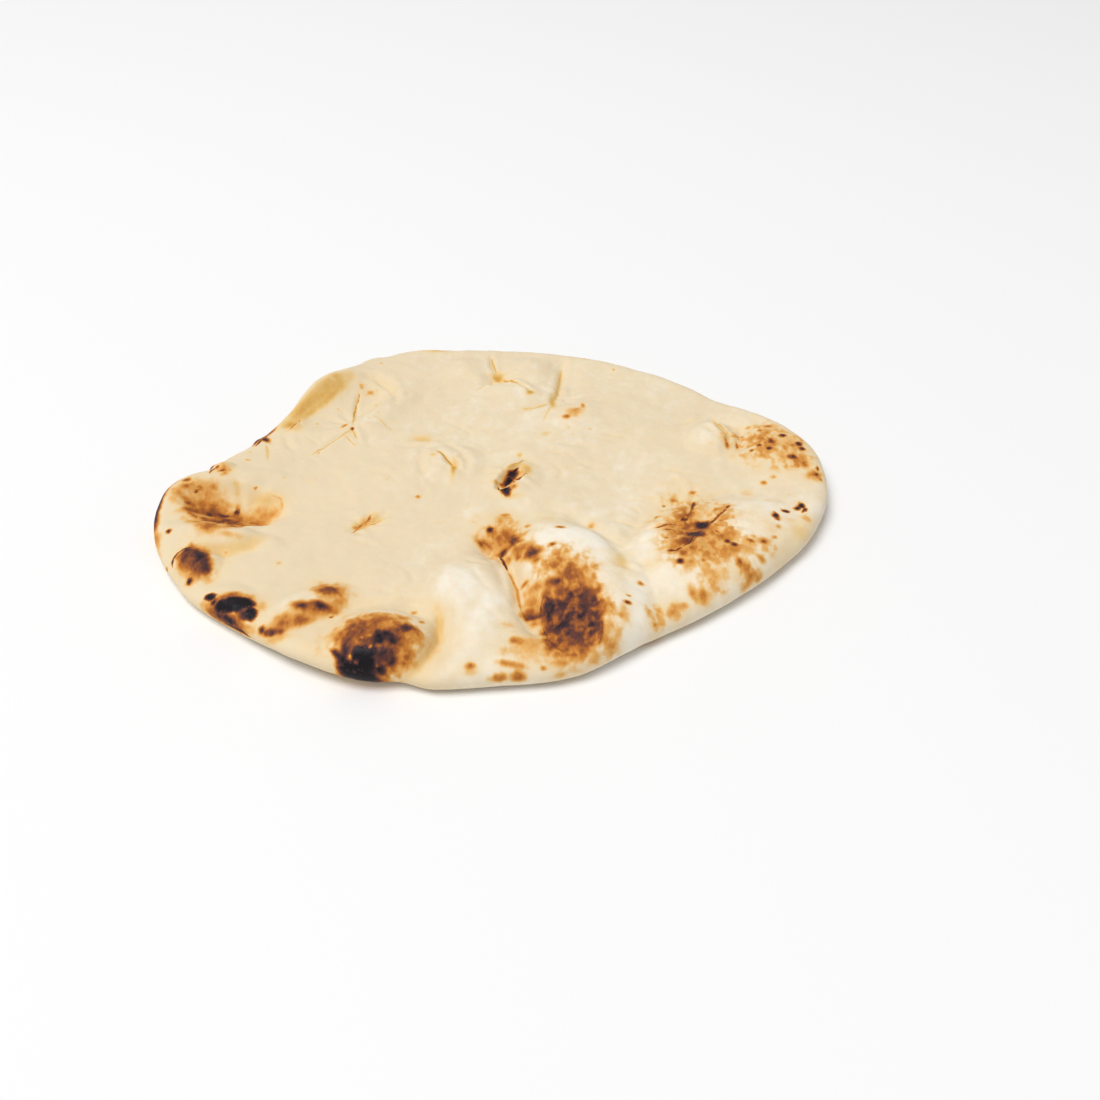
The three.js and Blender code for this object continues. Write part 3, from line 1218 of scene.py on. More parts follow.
@dataclass(frozen=True)
class Browning:
    """Where the oven toasted the bread: patches, streaks, dots and burnt stretches of rim, with some painted
    shade in grooves and folds and a painted highlight among them.

    Where marks overlap, the strongest shows.
    """

    great_blister: tuple[Patch, ...] = (
        Scorch((1, -31), (7, 8), 0, 0.35, 0.4, 2, 1.1),
        Scorch((1.8, -22.5), (3.5, 3.5), 0, 0.3, 0.2),
        Scorch((-5.8, -34.5), (2.7, 1.6), -38, 0.55, 0.2),
        Scorch((-2.6, -28.5), (1.4, 1.8), 0, 0.88, 0, 2.5),
        Scorch((6, -36.5), (2.8, 3.6), 0, 0.7, 0.5),
        Scorch((2.2, -38.5), (2.2, 2.2), 0, 0.7),
        Scorch((12.5, -47.5), (3.2, 4.5), 0, 0.74, 0.3, 2.2),
        Scorch((8, -43), (4.2, 3.5), -31, 0.5),
        Scorch((-3.5, -34), (3.4, 1), -31, 0.51),
        Scorch((10, -59), (1.4, 1.2), 0, 0.45, 0),
        Scorch((12.5, -63.5), (3.6, 2.7), 0, 0.34),
        Scorch((12.5, -69), (3, 5.2), 0, 0.26, 0.1),
        Scorch((21.5, -55.5), (8.5, 8), 0, 0.37, 0.5, 2, 1.2),
        Scorch((26, -61), (7, 4.8), 0, 0.5, 0.5, 2, 1.2),
        Scorch((32.5, -65), (2.2, 8.5), 0, 0.3, 0.4),
        Scorch((22.5, -97.5), (4.3, 1.9), 0, 0.36),
        Scorch((37, -79), (2.5, 7.5), 0, 0.28),
        Scorch((35.5, -90.5), (3.2, 3.9), 0, 0.24, 0.2),
        Scorch((32.5, -95.5), (4.1, 2.4), 0, 0.27, 0.2),
        Scorch((12.5, -92), (8, 8), 0, 0.28, 0.05),
        Scorch((2.5, -20.5), (2.1, 1), 8, 0.45, 0),
        Scorch((10.5, -28.5), (1.4, 1.1), 0, 0.4, 0),
        Scorch((22, -32.5), (1.7, 1.4), 0, 0.62, 0),
        Scorch((19, -45), (1.7, 1.2), 44, 0.6, 0),
        Scorch((33, -25.5), (1.4, 2.2), 0, 0.32, 0),
        Scorch((3.5, -34.5), (8, 6.5), -31, 0.39, 0.45, 2, 1.1),
        Scorch((13, -69), (3.6, 7), 0, 0.36, 0.2),
        Scorch((25.5, -79.5), (10.5, 17.5), 0, 0.56, 0.55, 10, 0.3),
        Scorch((25.5, -77.5), (9, 14), 0, 0.57, 0.45, 4),
        Scorch((25.5, -91), (6.5, 3.3), 0, 0.44, 0.4, 2.4),
        Scorch((20.5, -73.5), (3, 2.8), 0, 0.72, 0.3, 2.4, 1.2),
        Scorch((26, -68), (3, 2.1), 0, 0.7, 0.4, 2.2, 1.2),
        Scorch((28.5, -81), (2, 2.9), 0, 0.74, 0.4, 2.2, 1.2),
        Scorch((31.5, -84), (1.8, 1.4), 0, 0.72, 0.3, 2.2, 1.2),
        Scorch((21.5, -82), (4.1, 3.3), 0, 0.68, 0.5, 2.2, 1.2),
        Scorch((31, -87.5), (2.3, 1.5), 28, 0.76, 0.3, 2.2, 1.2),
        Scorch((23, -86.5), (2.2, 1.3), 0, 0.68, 0.3, 2.2, 1.2),
        Scorch((23.5, -92.5), (1.1, 1.7), 0, 0.68, 0.2, 2.2, 1.0),
        Scorch((21, -63), (2.4, 1.3), 0, 0.68, 0.3, 2.2, 1.2),
        Scorch((25.5, -58.5), (2.3, 1), -38, 0.5, 0.2, 2, 1.0),
        Scorch((27.5, -61.5), (1.3, 1.1), 0, 0.54, 0.2, 2, 1.0),
        Scorch((32.5, -73.5), (1.2, 1.1), 0, 0.84, 0.1, 2.2, 1.0),
        Scorch((33.5, -69), (1.4, 3.5), 0, 0.44, 0.3, 2, 1.0),
        Scorch((37, -78), (2.2, 5.4), 0, 0.26, 0.4, 2, 1.2),
        Scorch((5.8, -80.5), (4.4, 2.4), 0, 0.2, 0.1),
        Scorch((17.5, -73), (2.6, 10), 0, 0.62, 0.3, 3, 0.6),
        Scorch((33.5, -80.5), (2.1, 13), 0, 0.52, 0.4, 3, 0.7),
        Scorch((14, -77.5), (2.9, 2.1), 0, 0.4, 0.2),
        Scorch((38, -87), (3.5, 7.5), 0, 0.25),
        Scorch((19, -63.5), (3.2, 2.8), 0, 0.56, 0.3, 2.4),
        Scorch((18.5, -89), (2.8, 6.5), 0, 0.58, 0.3, 2.6, 0.7),
        Scorch((30.5, -91), (3, 3.9), 0, 0.54, 0.3, 2.4),
        Scorch((37.5, -91.5), (4.1, 3.6), 0, 0.3),
        Scorch((11.5, -73.5), (2.6, 2.7), 0, 0.68, 0.2, 2.2),
        Scorch((13.5, -52), (2.7, 3.4), 0, 0.56),
        Scorch((4.1, -44), (2.1, 2.5), 0, 0.4, 0.2),
        Scorch((8, -46), (2.1, 2.2), 0, 0.5),
        Scorch((15, -63.5), (2.9, 3), 0, 0.34),
        Scorch((20.5, -95.5), (2.4, 2.2), 0, 0.46),
        Scorch((42, -79.5), (2.6, 6.5), 0, 0.2, 0.2),
        gold((17.5, -23), (6.5, 7), 0, 0.13, 1),
        bare((11, -53.5), (2.4, 3.1), 0, 0.06),
        Streak(((0.5, -38.5), (1.6, -41), (3.1, -45.5), (4.3, -50)), 0.6, 0.88, 0.6),
        # Painted shadow where the long fold drops off
        Streak(((3.5, -47.5), (5.7, -54.5), (7.5, -59), (8.5, -68), (9.5, -75.5)), 0.9, 0.36, 0.3),
        # Painted shadow under the small fold's lip
        Streak(((9.5, -74), (12.5, -74.5), (15, -75), (17.5, -74)), 1.6, 0.74, 0.4),
        Streak(((18, -73), (21.5, -72.5), (25.5, -74), (29, -75.5)), 1.1, 0.74, 0.3),
        Streak(
            ((19, -62), (17, -66.5), (15.5, -72.5), (16, -77), (17.5, -87), (19, -93), (21, -95)),
            0.5, 0.64, 0.8,
        ),
        Streak(((34, -76.5), (34.5, -84), (34.5, -89), (33.5, -91.5), (32, -93.5)), 0.5, 0.56, 0.9),
    )
    front_blister: tuple[Patch, ...] = (
        Scorch((-34, -90.5), (14.5, 14), 0, 0.38, 0.4, 7),
        Scorch((-37.5, -91), (11, 12.5), 0, 0.5, 0.4, 4),
        Scorch((-31, -94), (5.4, 5.8), 0, 0.72, 0.35, 3, 0.9),
        Scorch((-42.5, -87), (2.6, 2.5), 0, 0.7, 0.3, 2.2, 1.2),
        Scorch((-42, -94), (2.5, 2.4), 0, 0.58, 0.3, 2, 1.0),
        Scorch((-39, -90), (1.1, 2.1), 0, 0.74, 0.3, 2.2, 1.2),
        Scorch((-33, -92.5), (3.6, 5.2), 0, 0.84, 0.4, 2.4, 1.2),
        Scorch((-29, -93.5), (2.1, 3.6), 0, 0.78, 0.4, 2.2, 1.2),
        Scorch((-26, -87), (4.4, 3.1), -13, 0.76, 0.4, 2.2, 1.2),
        Scorch((-29.5, -99), (3, 3.6), 0, 0.74, 0.4, 2.4, 1.2),
        Scorch((-25, -98), (1.3, 0.7), 0, 0.6, 0.2, 2, 1.2),
        Scorch((-23, -90), (2.3, 6), 0, 0.42, 0.35, 2.4, 1.2),
        Scorch((-39, -97), (5.2, 1.8), 0, 0.82, 0.3, 2.4, 1.2),
        Scorch((-38.5, -99), (6, 2.4), 0, 1.02, 0.1, 4, 0.9),
        Scorch((-39.5, -103), (7.5, 7), 0, 1.04, 0.1, 4, 0.9),
        Scorch((-44, -102), (3.5, 7), 0, 0.8, 0.4, 2.4, 1.2),
        Scorch((-46.5, -96.5), (2.6, 1), -38, 0.88, 0.2, 2.6, 1.0),
        Scorch((-31.5, -104), (1.2, 4.7), 0, 0.4, 0.2, 2.4, 1.0),
        Scorch((-39, -105.5), (6.5, 3), 0, 0.9, 0.2, 3, 0.9),
        Scorch((-43.5, -96.5), (2.9, 4.2), 0, 0.78, 0.3, 2.6, 0.9),
        Scorch((-26, -99.5), (2.1, 1.8), 0, 0.52),
        Scorch((-41, -106.5), (9, 5), 0, 0.92, 0.2, 3, 0.9),
        Scorch((-35.5, -100), (3.6, 2.7), 0, 0.92, 0.2, 3),
        Scorch((-32.5, -98.5), (2.7, 2.4), 0, 0.84, 0.3, 2.6),
        Scorch((-29, -89), (3.1, 3.2), 0, 0.72, 0.4, 2.2),
        Scorch((-38, -94), (2.4, 2.5), 0, 0.76, 0.4, 2.2),
        Scorch((-30.5, -99.5), (2.4, 1.8), 0, 0.8, 0.3, 2.4),
        Scorch((-46, -90), (2.4, 3.4), 0, 0.5, 0.3, 2.2),
        Scorch((-33.5, -101.5), (2.7, 2.4), 0, 0.9, 0.2, 2.4),
        Scorch((-34.5, -97.5), (1.8, 1.8), 0, 0.86, 0.3, 2.2),
        Scorch((-33, -94), (6.5, 5.3), 0, 0.58, 0.45, 3, 0.9),
        bare((-42, -98.5), (0.6, 0.8), 31, 0.14),
        bare((-40, -100), (0.6, 0.4), 0, 0.24),
        bare((-36, -96.5), (0.7, 0.6), 0, 0.2),
        bare((-33, -96), (0.6, 0.5), 0, 0.4),
        bare((-39, -93), (0.5, 0.6), 0, 0.34),
        bare((-36.5, -92), (0.6, 0.7), 0, 0.34),
        bare((-34, -101), (0.7, 0.4), 38, 0.56),
        bare((-41.5, -102), (0.5, 0.4), 0, 0.5),
        bare((-30.5, -101.5), (0.7, 0.7), 0, 0.3),
        bare((-32, -73.5), (5.8, 5.3), 0, 0.1),
        # Painted shade in the groove round the blister's right side, partly golden skin
        gilt(
            ((-18, -71.5), (-16.5, -78), (-17, -86.5), (-19, -94), (-22.5, -99.5), (-26, -103)),
            1.6, 0.3, 0.1,
        ),
        dot(-25.5, -72, 1.1, 0.52), dot(-22, -80, 1, 0.5),
    )
    left_side: tuple[Patch, ...] = (
        Scorch((-98.5, -54), (5.8, 4.4), 0, 0.42, 0.45, 2, 1.1),
        Scorch((-100.5, -49.5), (7, 5.7), -52, 0.76, 0.5, 4),
        Scorch((-95.5, -53.5), (1.5, 3), 0, 0.72),
        Scorch((-85, -69), (7, 2.4), 0, 0.5),
        Scorch((-77.5, -72.5), (2.4, 4.3), 0, 0.42),
        Scorch((-82.5, -72.5), (7, 3.1), -7, 1.06, 0.1, 7),
        Scorch((-91.5, -67), (2.3, 1.5), -31, 1.04, 0.1, 5),
        Scorch((-93, -69.5), (2.4, 1.8), 0, 0.2, 0),
        Scorch((-76, -77), (1.8, 3.1), 16, 1.0, 0.1, 5),
        Scorch((-78, -77), (3.4, 2), -16, 0.88, 0.2, 2.5),
        Scorch((-83.5, -78), (6.5, 2.1), -44, 0.64, 0.5, 2.2),
        Scorch((-54, -74), (5, 2.3), 0, 0.8, 0.4, 2.2),
        Scorch((-60.5, -75), (3.1, 2.7), 0, 0.74),
        Scorch((-60, -80), (4.8, 2.8), 24, 0.48),
        Scorch((-65, -81.5), (3.4, 3.6), 0, 0.5),
        Scorch((-68.5, -84.5), (4, 1.8), 0, 0.7, 0.3, 2.4),
        Scorch((-72, -83.5), (1.2, 1.7), 0, 0.82, 0.1, 2.4),
        Scorch((-65.5, -85), (1.5, 2), 0, 0.7, 0.2),
        Scorch((-53.5, -65), (5.5, 5.7), 0, 0.58, 0.4, 2.4),
        Scorch((-51, -66), (1.3, 4.3), 44, 0.6, 0.2),
        Scorch((-47.5, -69), (1.8, 2.4), 0, 0.3, 0.2),
        Scorch((-49.5, -88), (5.7, 2.3), 19, 0.17, 0),
        Scorch((-73.5, -73.5), (2.6, 4.1), 0, 0.26, 0.1),
        Scorch((-67, -87), (7.5, 2), 0, 0.26, 0.1),
        Scorch((-95, -57.5), (2.9, 2.4), 0, 0.24, 0.1),
        Scorch((-97, -52), (2.5, 5.3), 0, 0.74, 0.4, 2.4, 0.9),
        # Painted highlight on the top of the burnt dome
        bare((-101, -51), (1.7, 2.6), 0, 0.58),
        Streak(((-89.5, -76), (-85, -79), (-80.5, -82), (-77.5, -85.5)), 1.1, 0.82, 0.3),
        Streak(((-72, -83.5), (-64.5, -83), (-59, -78.5), (-52, -73), (-46, -66)), 3.2, 0.36, 0.3),
        Streak(arc((-101.5, -50.5), (6.6, 6.4), 0, 80, 190), 0.6, 0.84, 0.9),
        dot(-100.5, -58, 1.1, 0.98), dot(-111.5, -50, 0.9, 0.55), dot(-90, -69.5, 1.2, 0.98),
        dot(-51, -77, 0.8, 0.78), dot(-72.5, -49.5, 1.2, 0.26), dot(-91.5, -43.5, 0.6, 0.5),
    )
    left_pocket: tuple[Patch, ...] = (
        Scorch((-106, -11.5), (7, 7), 0, 0.33, 0.2, 2, 0.7),
        Scorch((-109.5, -17), (2.7, 7.5), 44, 0.42, 0.2),
        Scorch((-102, -15.5), (7, 3.7), -13, 0.48, 0.25),
        Scorch((-112, -9.5), (3, 2.2), 44, 0.46),
        Scorch((-94, -17), (7.5, 3.3), 0, 0.46, 0.25),
        Scorch((-84, -14.5), (6, 3.9), 0, 0.37, 0.2),
        Scorch((-94, -14.5), (0.8, 2.6), 0, 0.94, 0, 2.5),
        Scorch((-98, -17.5), (2.5, 1.2), 8, 0.86, 0, 2.2),
        Scorch((-102.5, -19.5), (2.2, 1.7), -16, 0.74, 0.2),
        Scorch((-101.5, 2.3), (3.3, 2.8), 0, 0.34, 0.35),
        Scorch((-112.5, -6), (1.8, 1.6), 44, 0.62, 0.2, 2.2),
        Scorch((-100.5, -0.6), (1.4, 2.6), 0, 0.34, 0.2, 2.2),
        Scorch((-103.5, 2.8), (1.1, 0.8), 0, 0.64, 0.1, 2.2),
        Scorch((-105.5, -7.5), (6.5, 3.1), 0, 0.25, 0.15, 2, 0.6),
        Scorch((-102, -18.5), (5.9, 4), 0, 0.64, 0.25, 2.4, 0.6),
        Scorch((-98.5, -33.5), (4, 4), 0, 0.5, 0.2, 2, 0.6),
        Scorch((-92, -29.5), (2.4, 4.4), 0, 0.54, 0.2, 2, 0.6),
        Scorch((-86, -20), (4.9, 4), 0, 0.46, 0.2, 2, 0.6),
        Scorch((-91.5, -37.5), (8, 2.1), 0, 0.25, 0.1, 2, 0.6),
        Scorch((-114.5, -13.5), (2.4, 4.1), 44, 0.3, 0.1, 2, 0.6),
        Scorch((-107, -20.5), (2.4, 5.6), -54, 0.56, 0.2, 2, 0.6),
        Scorch((-98.5, -12), (5.2, 2.8), 0, 0.3, 0.2),
        Scorch((-93, -21.5), (4.1, 4.4), 0, 0.56, 0.2, 2, 0.6),
        Scorch((-114, -18.5), (2, 4.2), 44, 0.26, 0.2),
        gold((-90.5, -8.5), (10.5, 4.8), 0, 0.12),
        gold((-85, -9), (5.6, 2.9), 0, 0.28),
        Streak(((-82, -20), (-79.5, -16.5), (-78, -13), (-79, -9), (-84, -7)), 0.6, 0.26, 0.5),
        Streak(
            ((-106.5, -30.5), (-99.5, -34.5), (-93, -33.5), (-89.5, -21), (-84.5, -19.5)),
            2.5, 0.34, 0.3,
        ),
        Streak(((-109, -27), (-103, -30.5), (-96, -30), (-89, -25)), 2.6, 0.36, 0.3, 0.2),
        Streak(((-106, -1.2), (-105.5, 1.7), (-103.5, 3.2)), 0.5, 0.66, 0.3),
        Streak(((-105, -26.5), (-101, -26.5), (-98, -22), (-93, -18.5)), 1.5, 0.62, 0.4),
        # The dark line at the foot of the pocket's back wall: partly burnt, partly painted shade
        Streak(
            ((-102.5, -30.5), (-97, -32.5), (-95.5, -22), (-92, -19), (-87, -19.5), (-82, -21)),
            0.4, 0.76, 0.9,
        ),
        Streak(((-110.5, -20), (-107.5, -24), (-104, -26.5)), 1.5, 0.5, 0.4),
        Streak(((-105, -25.5), (-101.5, -24.5), (-98.5, -22), (-95.5, -18.5)), 2.6, 0.6, 0.3, 0.2),
        gilt(((-96.5, -3.5), (-95, -5.6), (-95, -9)), 1.4, 0.26, 0.2),
        # Painted shade under the front lip of the left pocket
        gilt(((-101.5, -40.5), (-98, -42.5), (-93.5, -42), (-88.5, -41.5), (-84, -38.5)), 2.1, 0.2, 0.1),
        gilt(((-82, -7.5), (-78.5, -10), (-78.5, -13), (-80.5, -16)), 1.4, 0.2, 0.2),
        dot(-107.5, -8.5, 1.2, 0.5), dot(-103, -7, 1.6, 0.48), dot(-108.5, -10.5, 0.8, 0.7),
        dot(-110, -17.5, 1, 0.64), dot(-102.5, -16, 1.2, 0.62), dot(-112, -36, 0.9, 1.0),
        dot(-103.5, 2.9, 0.9, 0.75), dot(-101.5, 1.6, 0.7, 0.8), dot(-88.5, -5.3, 0.7, 0.5),
        dot(-94.5, 11.5, 1, 0.34),
    )
    back: tuple[Patch, ...] = (
        Scorch((-62, 37.5), (1.4, 2), 0, 0.46, 0),
        Scorch((25, 42.5), (1.4, 1.8), 44, 0.5, 0, 2.4),
        Scorch((28.5, 47.5), (2, 1.6), 41, 0.34, 0.1),
        Scorch((31.5, 51), (1, 3), 0, 0.44, 0, 2.2),
        Scorch((-47.5, -24), (4, 0.9), 46, 0.3, 0),
        Scorch((-49.5, -27), (1.6, 0.9), 0, 0.44, 0),
        Scorch((-59, 69), (3.1, 2.9), 0, 0.2, 0.35),
        Scorch((-56, 66), (3.1, 2.5), 0, 0.22, 0.35),
        Scorch((28, 46), (4.3, 3.9), 44, 0.28, 0.15, 3, 0.6),
        Scorch((-91, 27.5), (1.3, 2.5), 44, 0.84, 0.1, 2.2),
        Scorch((-47, -24), (2.8, 1.7), 31, 0.32, 0.2, 2, 1.2),
        gold((-83, 37.5), (3.5, 4.4), 54, 0.42),
        gold((-31, 29.5), (5, 3.1), 0, 0.22),
        gold((-30.5, 100), (5.1, 1.8), 0, 0.24),
        gold((-3.4, 79), (2.1, 2.1), 0, 0.44, 2.5),
        gold((10.5, 61.5), (1.4, 1.8), -31, 0.46),
        gold((19.5, 56.5), (1.2, 4.4), 0, 0.36),
        gold((16.5, 31.5), (3.1, 2.4), 16, 0.16),
        gold((-47.5, -24.5), (3.8, 2), 46, 0.4),
        gold((-44, -22.5), (3, 2.4), 34, 0.34),
        Streak(((-83.5, 33.5), (-82, 34.5), (-80.5, 37.5), (-79.5, 42.5)), 0.5, 0.56, 0.5),
        Streak(((-59.5, 65), (-59.5, 61.5), (-59.5, 57.5)), 0.4, 0.42, 0.5),
        Streak(((-51, -31.5), (-48, -24.5), (-44, -21)), 0.4, 0.5, 0.5),
        Streak(((-94, 22), (-92.5, 26.5), (-90.5, 30.5)), 0.5, 0.94, 0.5),
        Streak(((-45, -19), (-46, -22.5), (-47, -25.5)), 0.4, 0.5, 0.5),
        Streak(((-40.5, -23), (-43.5, -24.5), (-46.5, -25.5)), 0.5, 0.36, 0.5),
        gilt(((-86, 41.5), (-80.5, 49.5), (-74.5, 59.5), (-68.5, 69.5), (-64, 74)), 2.6, 0.28, 0.1),
        gilt(((-83, 34), (-78, 46), (-71.5, 56), (-66.5, 65.5), (-63.5, 72)), 2, 0.32, 0.3),
        gilt(((-84.5, 37.5), (-79.5, 48.5), (-73, 58), (-67.5, 67.5), (-63.5, 73)), 2.6, 0.32, 0.2),
        gilt(((-60, 66), (-60, 57.5), (-60, 51), (-58.5, 36)), 0.4, 0.42, 0.4),
        gilt(((-58.5, 35), (-62.5, 30), (-68, 23), (-73, 17.5)), 0.4, 0.36, 0.6),
        gilt(((-58.5, 35), (-56, 28.5)), 0.5, 0.32, 0.4),
        gilt(((-61, 31), (-57, 25.5), (-55, 24)), 0.3, 0.3, 0.5),
        gilt(((-52.5, 44.5), (-46.5, 39), (-41.5, 33.5)), 0.4, 0.2, 0.4),
        gilt(((-7, 95.5), (-5.3, 86.5), (-3.8, 80)), 0.5, 0.36, 0.3),
        gilt(((-3.4, 79.5), (1.8, 75.5), (6, 70), (11, 61)), 0.4, 0.44, 0.4),
        gilt(((-5, 78), (-9.5, 69.5), (-13, 67)), 0.5, 0.2, 0.4),
        gilt(((23.5, 89.5), (22.5, 79.5), (21.5, 67.5), (19, 54.5)), 0.9, 0.25, 0.3),
        gilt(((6.5, 50.5), (12.5, 51.5), (18, 55.5)), 1.2, 0.22, 0.2),
        gilt(((20.5, 58.5), (17.5, 48), (15, 39.5)), 0.9, 0.16, 0.2),
        gilt(((-90, 24), (-88.5, 18.5), (-87, 11)), 0.9, 0.22, 0.3),
        dot(-55.5, 66, 0.8, 0.34), dot(-59.5, 70, 0.7, 0.3), dot(-53, 68, 0.7, 0.28),
        dot(-58.5, 35, 0.9, 0.86), dot(-69.5, 19.5, 0.7, 0.34), dot(-73, 40.5, 0.8, 0.32),
        dot(-66.5, 52, 0.9, 0.24), dot(-52, 57, 1.2, 0.24), dot(-49.5, 45.5, 0.8, 0.2),
        dot(-66.5, 60, 0.8, 0.2), dot(-63.5, 66, 0.7, 0.22), dot(-54.5, 52.5, 0.7, 0.2),
        dot(-70.5, 46, 0.6, 0.2), dot(-53, 87.5, 0.8, 0.34), dot(45, 84, 0.8, 0.36),
        dot(-29.5, -8.5, 1.2, 0.48), dot(-79.5, 1.9, 0.7, 0.24), dot(-95, 18, 0.7, 0.3),
        dot(-93.5, 11.5, 0.7, 0.3),
    )
    burst: tuple[Patch, ...] = (
        Scorch((8, 5.9), (1.1, 1.3), 0, 0.36, 0.2),
        Scorch((4.6, -5.7), (2.5, 1.5), 41, 0.34),
        Scorch((0.8, -0.1), (0.9, 0.9), 44, 0.78, 0),
        Scorch((7, 2.9), (1.2, 1), 24, 0.84, 0, 2.4),
        Scorch((8, 2.8), (0.9, 1.2), 24, 0.62, 0),
        Scorch((4.7, 5.6), (2.5, 1.3), 34, 1.04, 0, 4),
        Scorch((1.7, -6), (1.8, 3.7), 31, 1.04, 0, 4),
        gold((-17.5, 8), (1, 4.3), 0, 0.46, 2.4),
        gold((-25.5, 16), (1.9, 1.2), 0, 0.2),
        gold((4.3, 7.5), (3.7, 1.2), 34, 0.36, 3),
        gold((9, 5.1), (2.1, 4), 0, 0.46, 2.4),
        gold((-0.7, -0.6), (1.6, 1.1), 0, 0.46, 2.4),
        gold((1.4, 2.9), (1.3, 1.6), 0, 0.32),
        gold((5.4, -9.5), (5.1, 2), 0, 0.15),
        gold((7, 17), (1.1, 1.3), 0, 0.28),
        bare((5.1, 4.3), (0.7, 1.2), 44, 0.64),
        bare((1.9, -0.3), (0.7, 0.7), 54, 0.6),
        bare((6, 5.8), (0.7, 1.2), 0, 0.72),
        Streak(((4.3, 4.8), (3.2, 2.8), (1.9, -0.9)), 1.6, 1.1, 0.1),
        Streak(((1.8, 4.3), (4.3, 6), (6.5, 8), (7, 8.5)), 0.5, 1.02, 0.2),
        Streak(((-0.7, -1.4), (0.6, -6.5), (1.8, -8)), 0.5, 1.0, 0.2),
        Streak(((6, 2.7), (8, 2.8), (10.5, 2)), 0.5, 0.7, 0.3),
        gilt(((-25, 19.5), (-20.5, 14.5), (-17, 10)), 0.5, 0.5, 0.2),
        gilt(((2.1, 6), (4.7, 8.5), (7, 10.5), (9, 14.5)), 0.6, 0.44, 0.3),
        dot(3.9, -6.5, 0.6, 0.66), dot(5.5, 1.5, 0.7, 0.74), dot(5.3, -5.4, 0.7, 0.5),
    )
    right_blister: tuple[Patch, ...] = (
        Scorch((67.5, -24), (9.5, 15), 0, 0.32, 0.5, 2, 1.2),
        Scorch((71.5, -46), (12, 12), 0, 0.34, 0.4, 2, 1.2),
        Scorch((60.5, -42.5), (5.7, 11), 0, 0.27, 0.45, 2, 1.2),
        Scorch((78, -29.5), (8, 12.5), 0, 0.22, 0.4, 2, 1.2),
        Scorch((67.5, -33.5), (8.5, 11.5), 31, 0.5, 0.5),
        Scorch((67.5, -24), (3.3, 3.4), 67, 0.58),
        Scorch((78.5, -23.5), (3.3, 1.9), 59, 0.36, 0.2),
        Scorch((61.5, -53), (1.3, 1.5), 16, 0.88, 0, 2.4),
        Scorch((63, -49), (1.6, 2.2), 0, 0.62, 0.2),
        Scorch((72, -59.5), (5.9, 5.2), 0, 0.28, 0.25),
        Scorch((83.5, -55), (3.6, 6.5), 13, 0.3, 0.4, 2.2, 1.3),
        Scorch((81, -53.5), (1.4, 2.2), 0, 0.58, 0.2),
        Scorch((84.5, -57), (1.6, 2.4), 0, 0.5, 0.2),
        Scorch((86.5, -42.5), (1.5, 1), -31, 0.66, 0),
        Scorch((90.5, -42), (1.8, 1.2), 16, 0.64, 0),
        Scorch((95, -38.5), (1.1, 0.9), 31, 0.46, 0),
        Scorch((88.5, -42), (8, 3.4), 0, 0.26, 0.4),
        Scorch((80.5, -37), (1, 3.5), 0, 0.52, 0),
        Scorch((70, -6.5), (1.9, 0.8), 24, 0.42, 0),
        Scorch((97, -27), (1.3, 2), 0, 0.98, 0, 3, 1.6),
        Scorch((101, -22.5), (1.5, 1.2), 0, 0.96, 0, 3, 1.6),
        Scorch((108, -26), (2.6, 2), -31, 0.28, 0),
        Scorch((102, -28), (5.3, 2.1), 0, 0.16, 0),
        Scorch((90, -7), (2.8, 2.8), 0, 0.19, 0),
        Scorch((71.5, -30.5), (2.9, 3.4), 24, 0.96, 0.2, 2.4, 1.4),
        Scorch((67.5, -37), (2.9, 4.1), 38, 0.96, 0.2, 2.4, 1.4),
        Scorch((63.5, -42.5), (4.6, 2.6), 0, 0.5),
        Scorch((72, -32), (3.3, 4.4), 24, 0.5),
        Scorch((65, -41.5), (3.4, 2.5), 0, 0.56),
        Scorch((74, -35), (2.7, 3.3), 0, 0.44),
        Scorch((71, -63.5), (7.5, 2.6), 0, 0.22),
        Scorch((92, -44.5), (3.6, 3.5), 0, 0.22),
        Scorch((65, -47), (3.9, 3.3), 16, 0.44),
        Scorch((80, -47.5), (3.4, 3), -16, 0.3),
        Scorch((107.5, -18.5), (1.2, 1.8), 0, 0.98, 0, 3, 1.6),
        Scorch((106, -20), (1.2, 1.1), 31, 0.96, 0, 3, 1.6),
        Scorch((108, -21.5), (0.6, 1.6), -31, 0.9, 0, 3, 1.6),
        Scorch((77.5, -40.5), (3.5, 3.5), -31, 0.46),
        Scorch((65, -54.5), (3, 3.1), 0, 0.34),
        Scorch((87.5, -55.5), (3.8, 2.7), 0, 0.34),
        gold((88.5, -25.5), (9, 10), 0, 0.13, 1),
        gold((105, -32), (6.5, 5.1), 31, 0.16),
        gold((51.5, -53), (8.5, 8.5), 0, 0.12, 1),
        # Painted shade in the valley between the great and right blisters
        gold((42, -53.5), (4.7, 12), 0, 0.2, 1),
        gold((94.5, -35.5), (13, 12), 0, 0.15, 1),
        gold((82.5, -57.5), (8, 4.2), 0, 0.16, 1),
        bare((73, -21), (2.5, 5.2), 0, 0.2),
        Streak(((70.5, -10), (68.5, -21.5), (66.5, -25), (62, -29.5)), 1.1, 0.76, 0.5),
        Streak(((82.5, -18.5), (78, -25.5), (74, -30), (71, -31)), 0.8, 0.68, 0.7),
        Streak(((53.5, -31), (58, -30.5), (63.5, -29), (67.5, -31)), 0.5, 0.52, 0.9),
        Streak(((56.5, -47), (61.5, -46), (65, -43), (68.5, -38)), 0.6, 0.68),
        Streak(((71.5, -34), (75.5, -37.5), (79.5, -43.5)), 0.6, 0.54, 0.9),
        Streak(((59, -31.5), (61.5, -35.5), (65.5, -37.5)), 0.5, 0.54, 0.9),
        dot(78, -43.5, 1.2, 0.84), dot(80, -45, 1.2, 0.88), dot(65.5, -53.5, 1.2, 0.46),
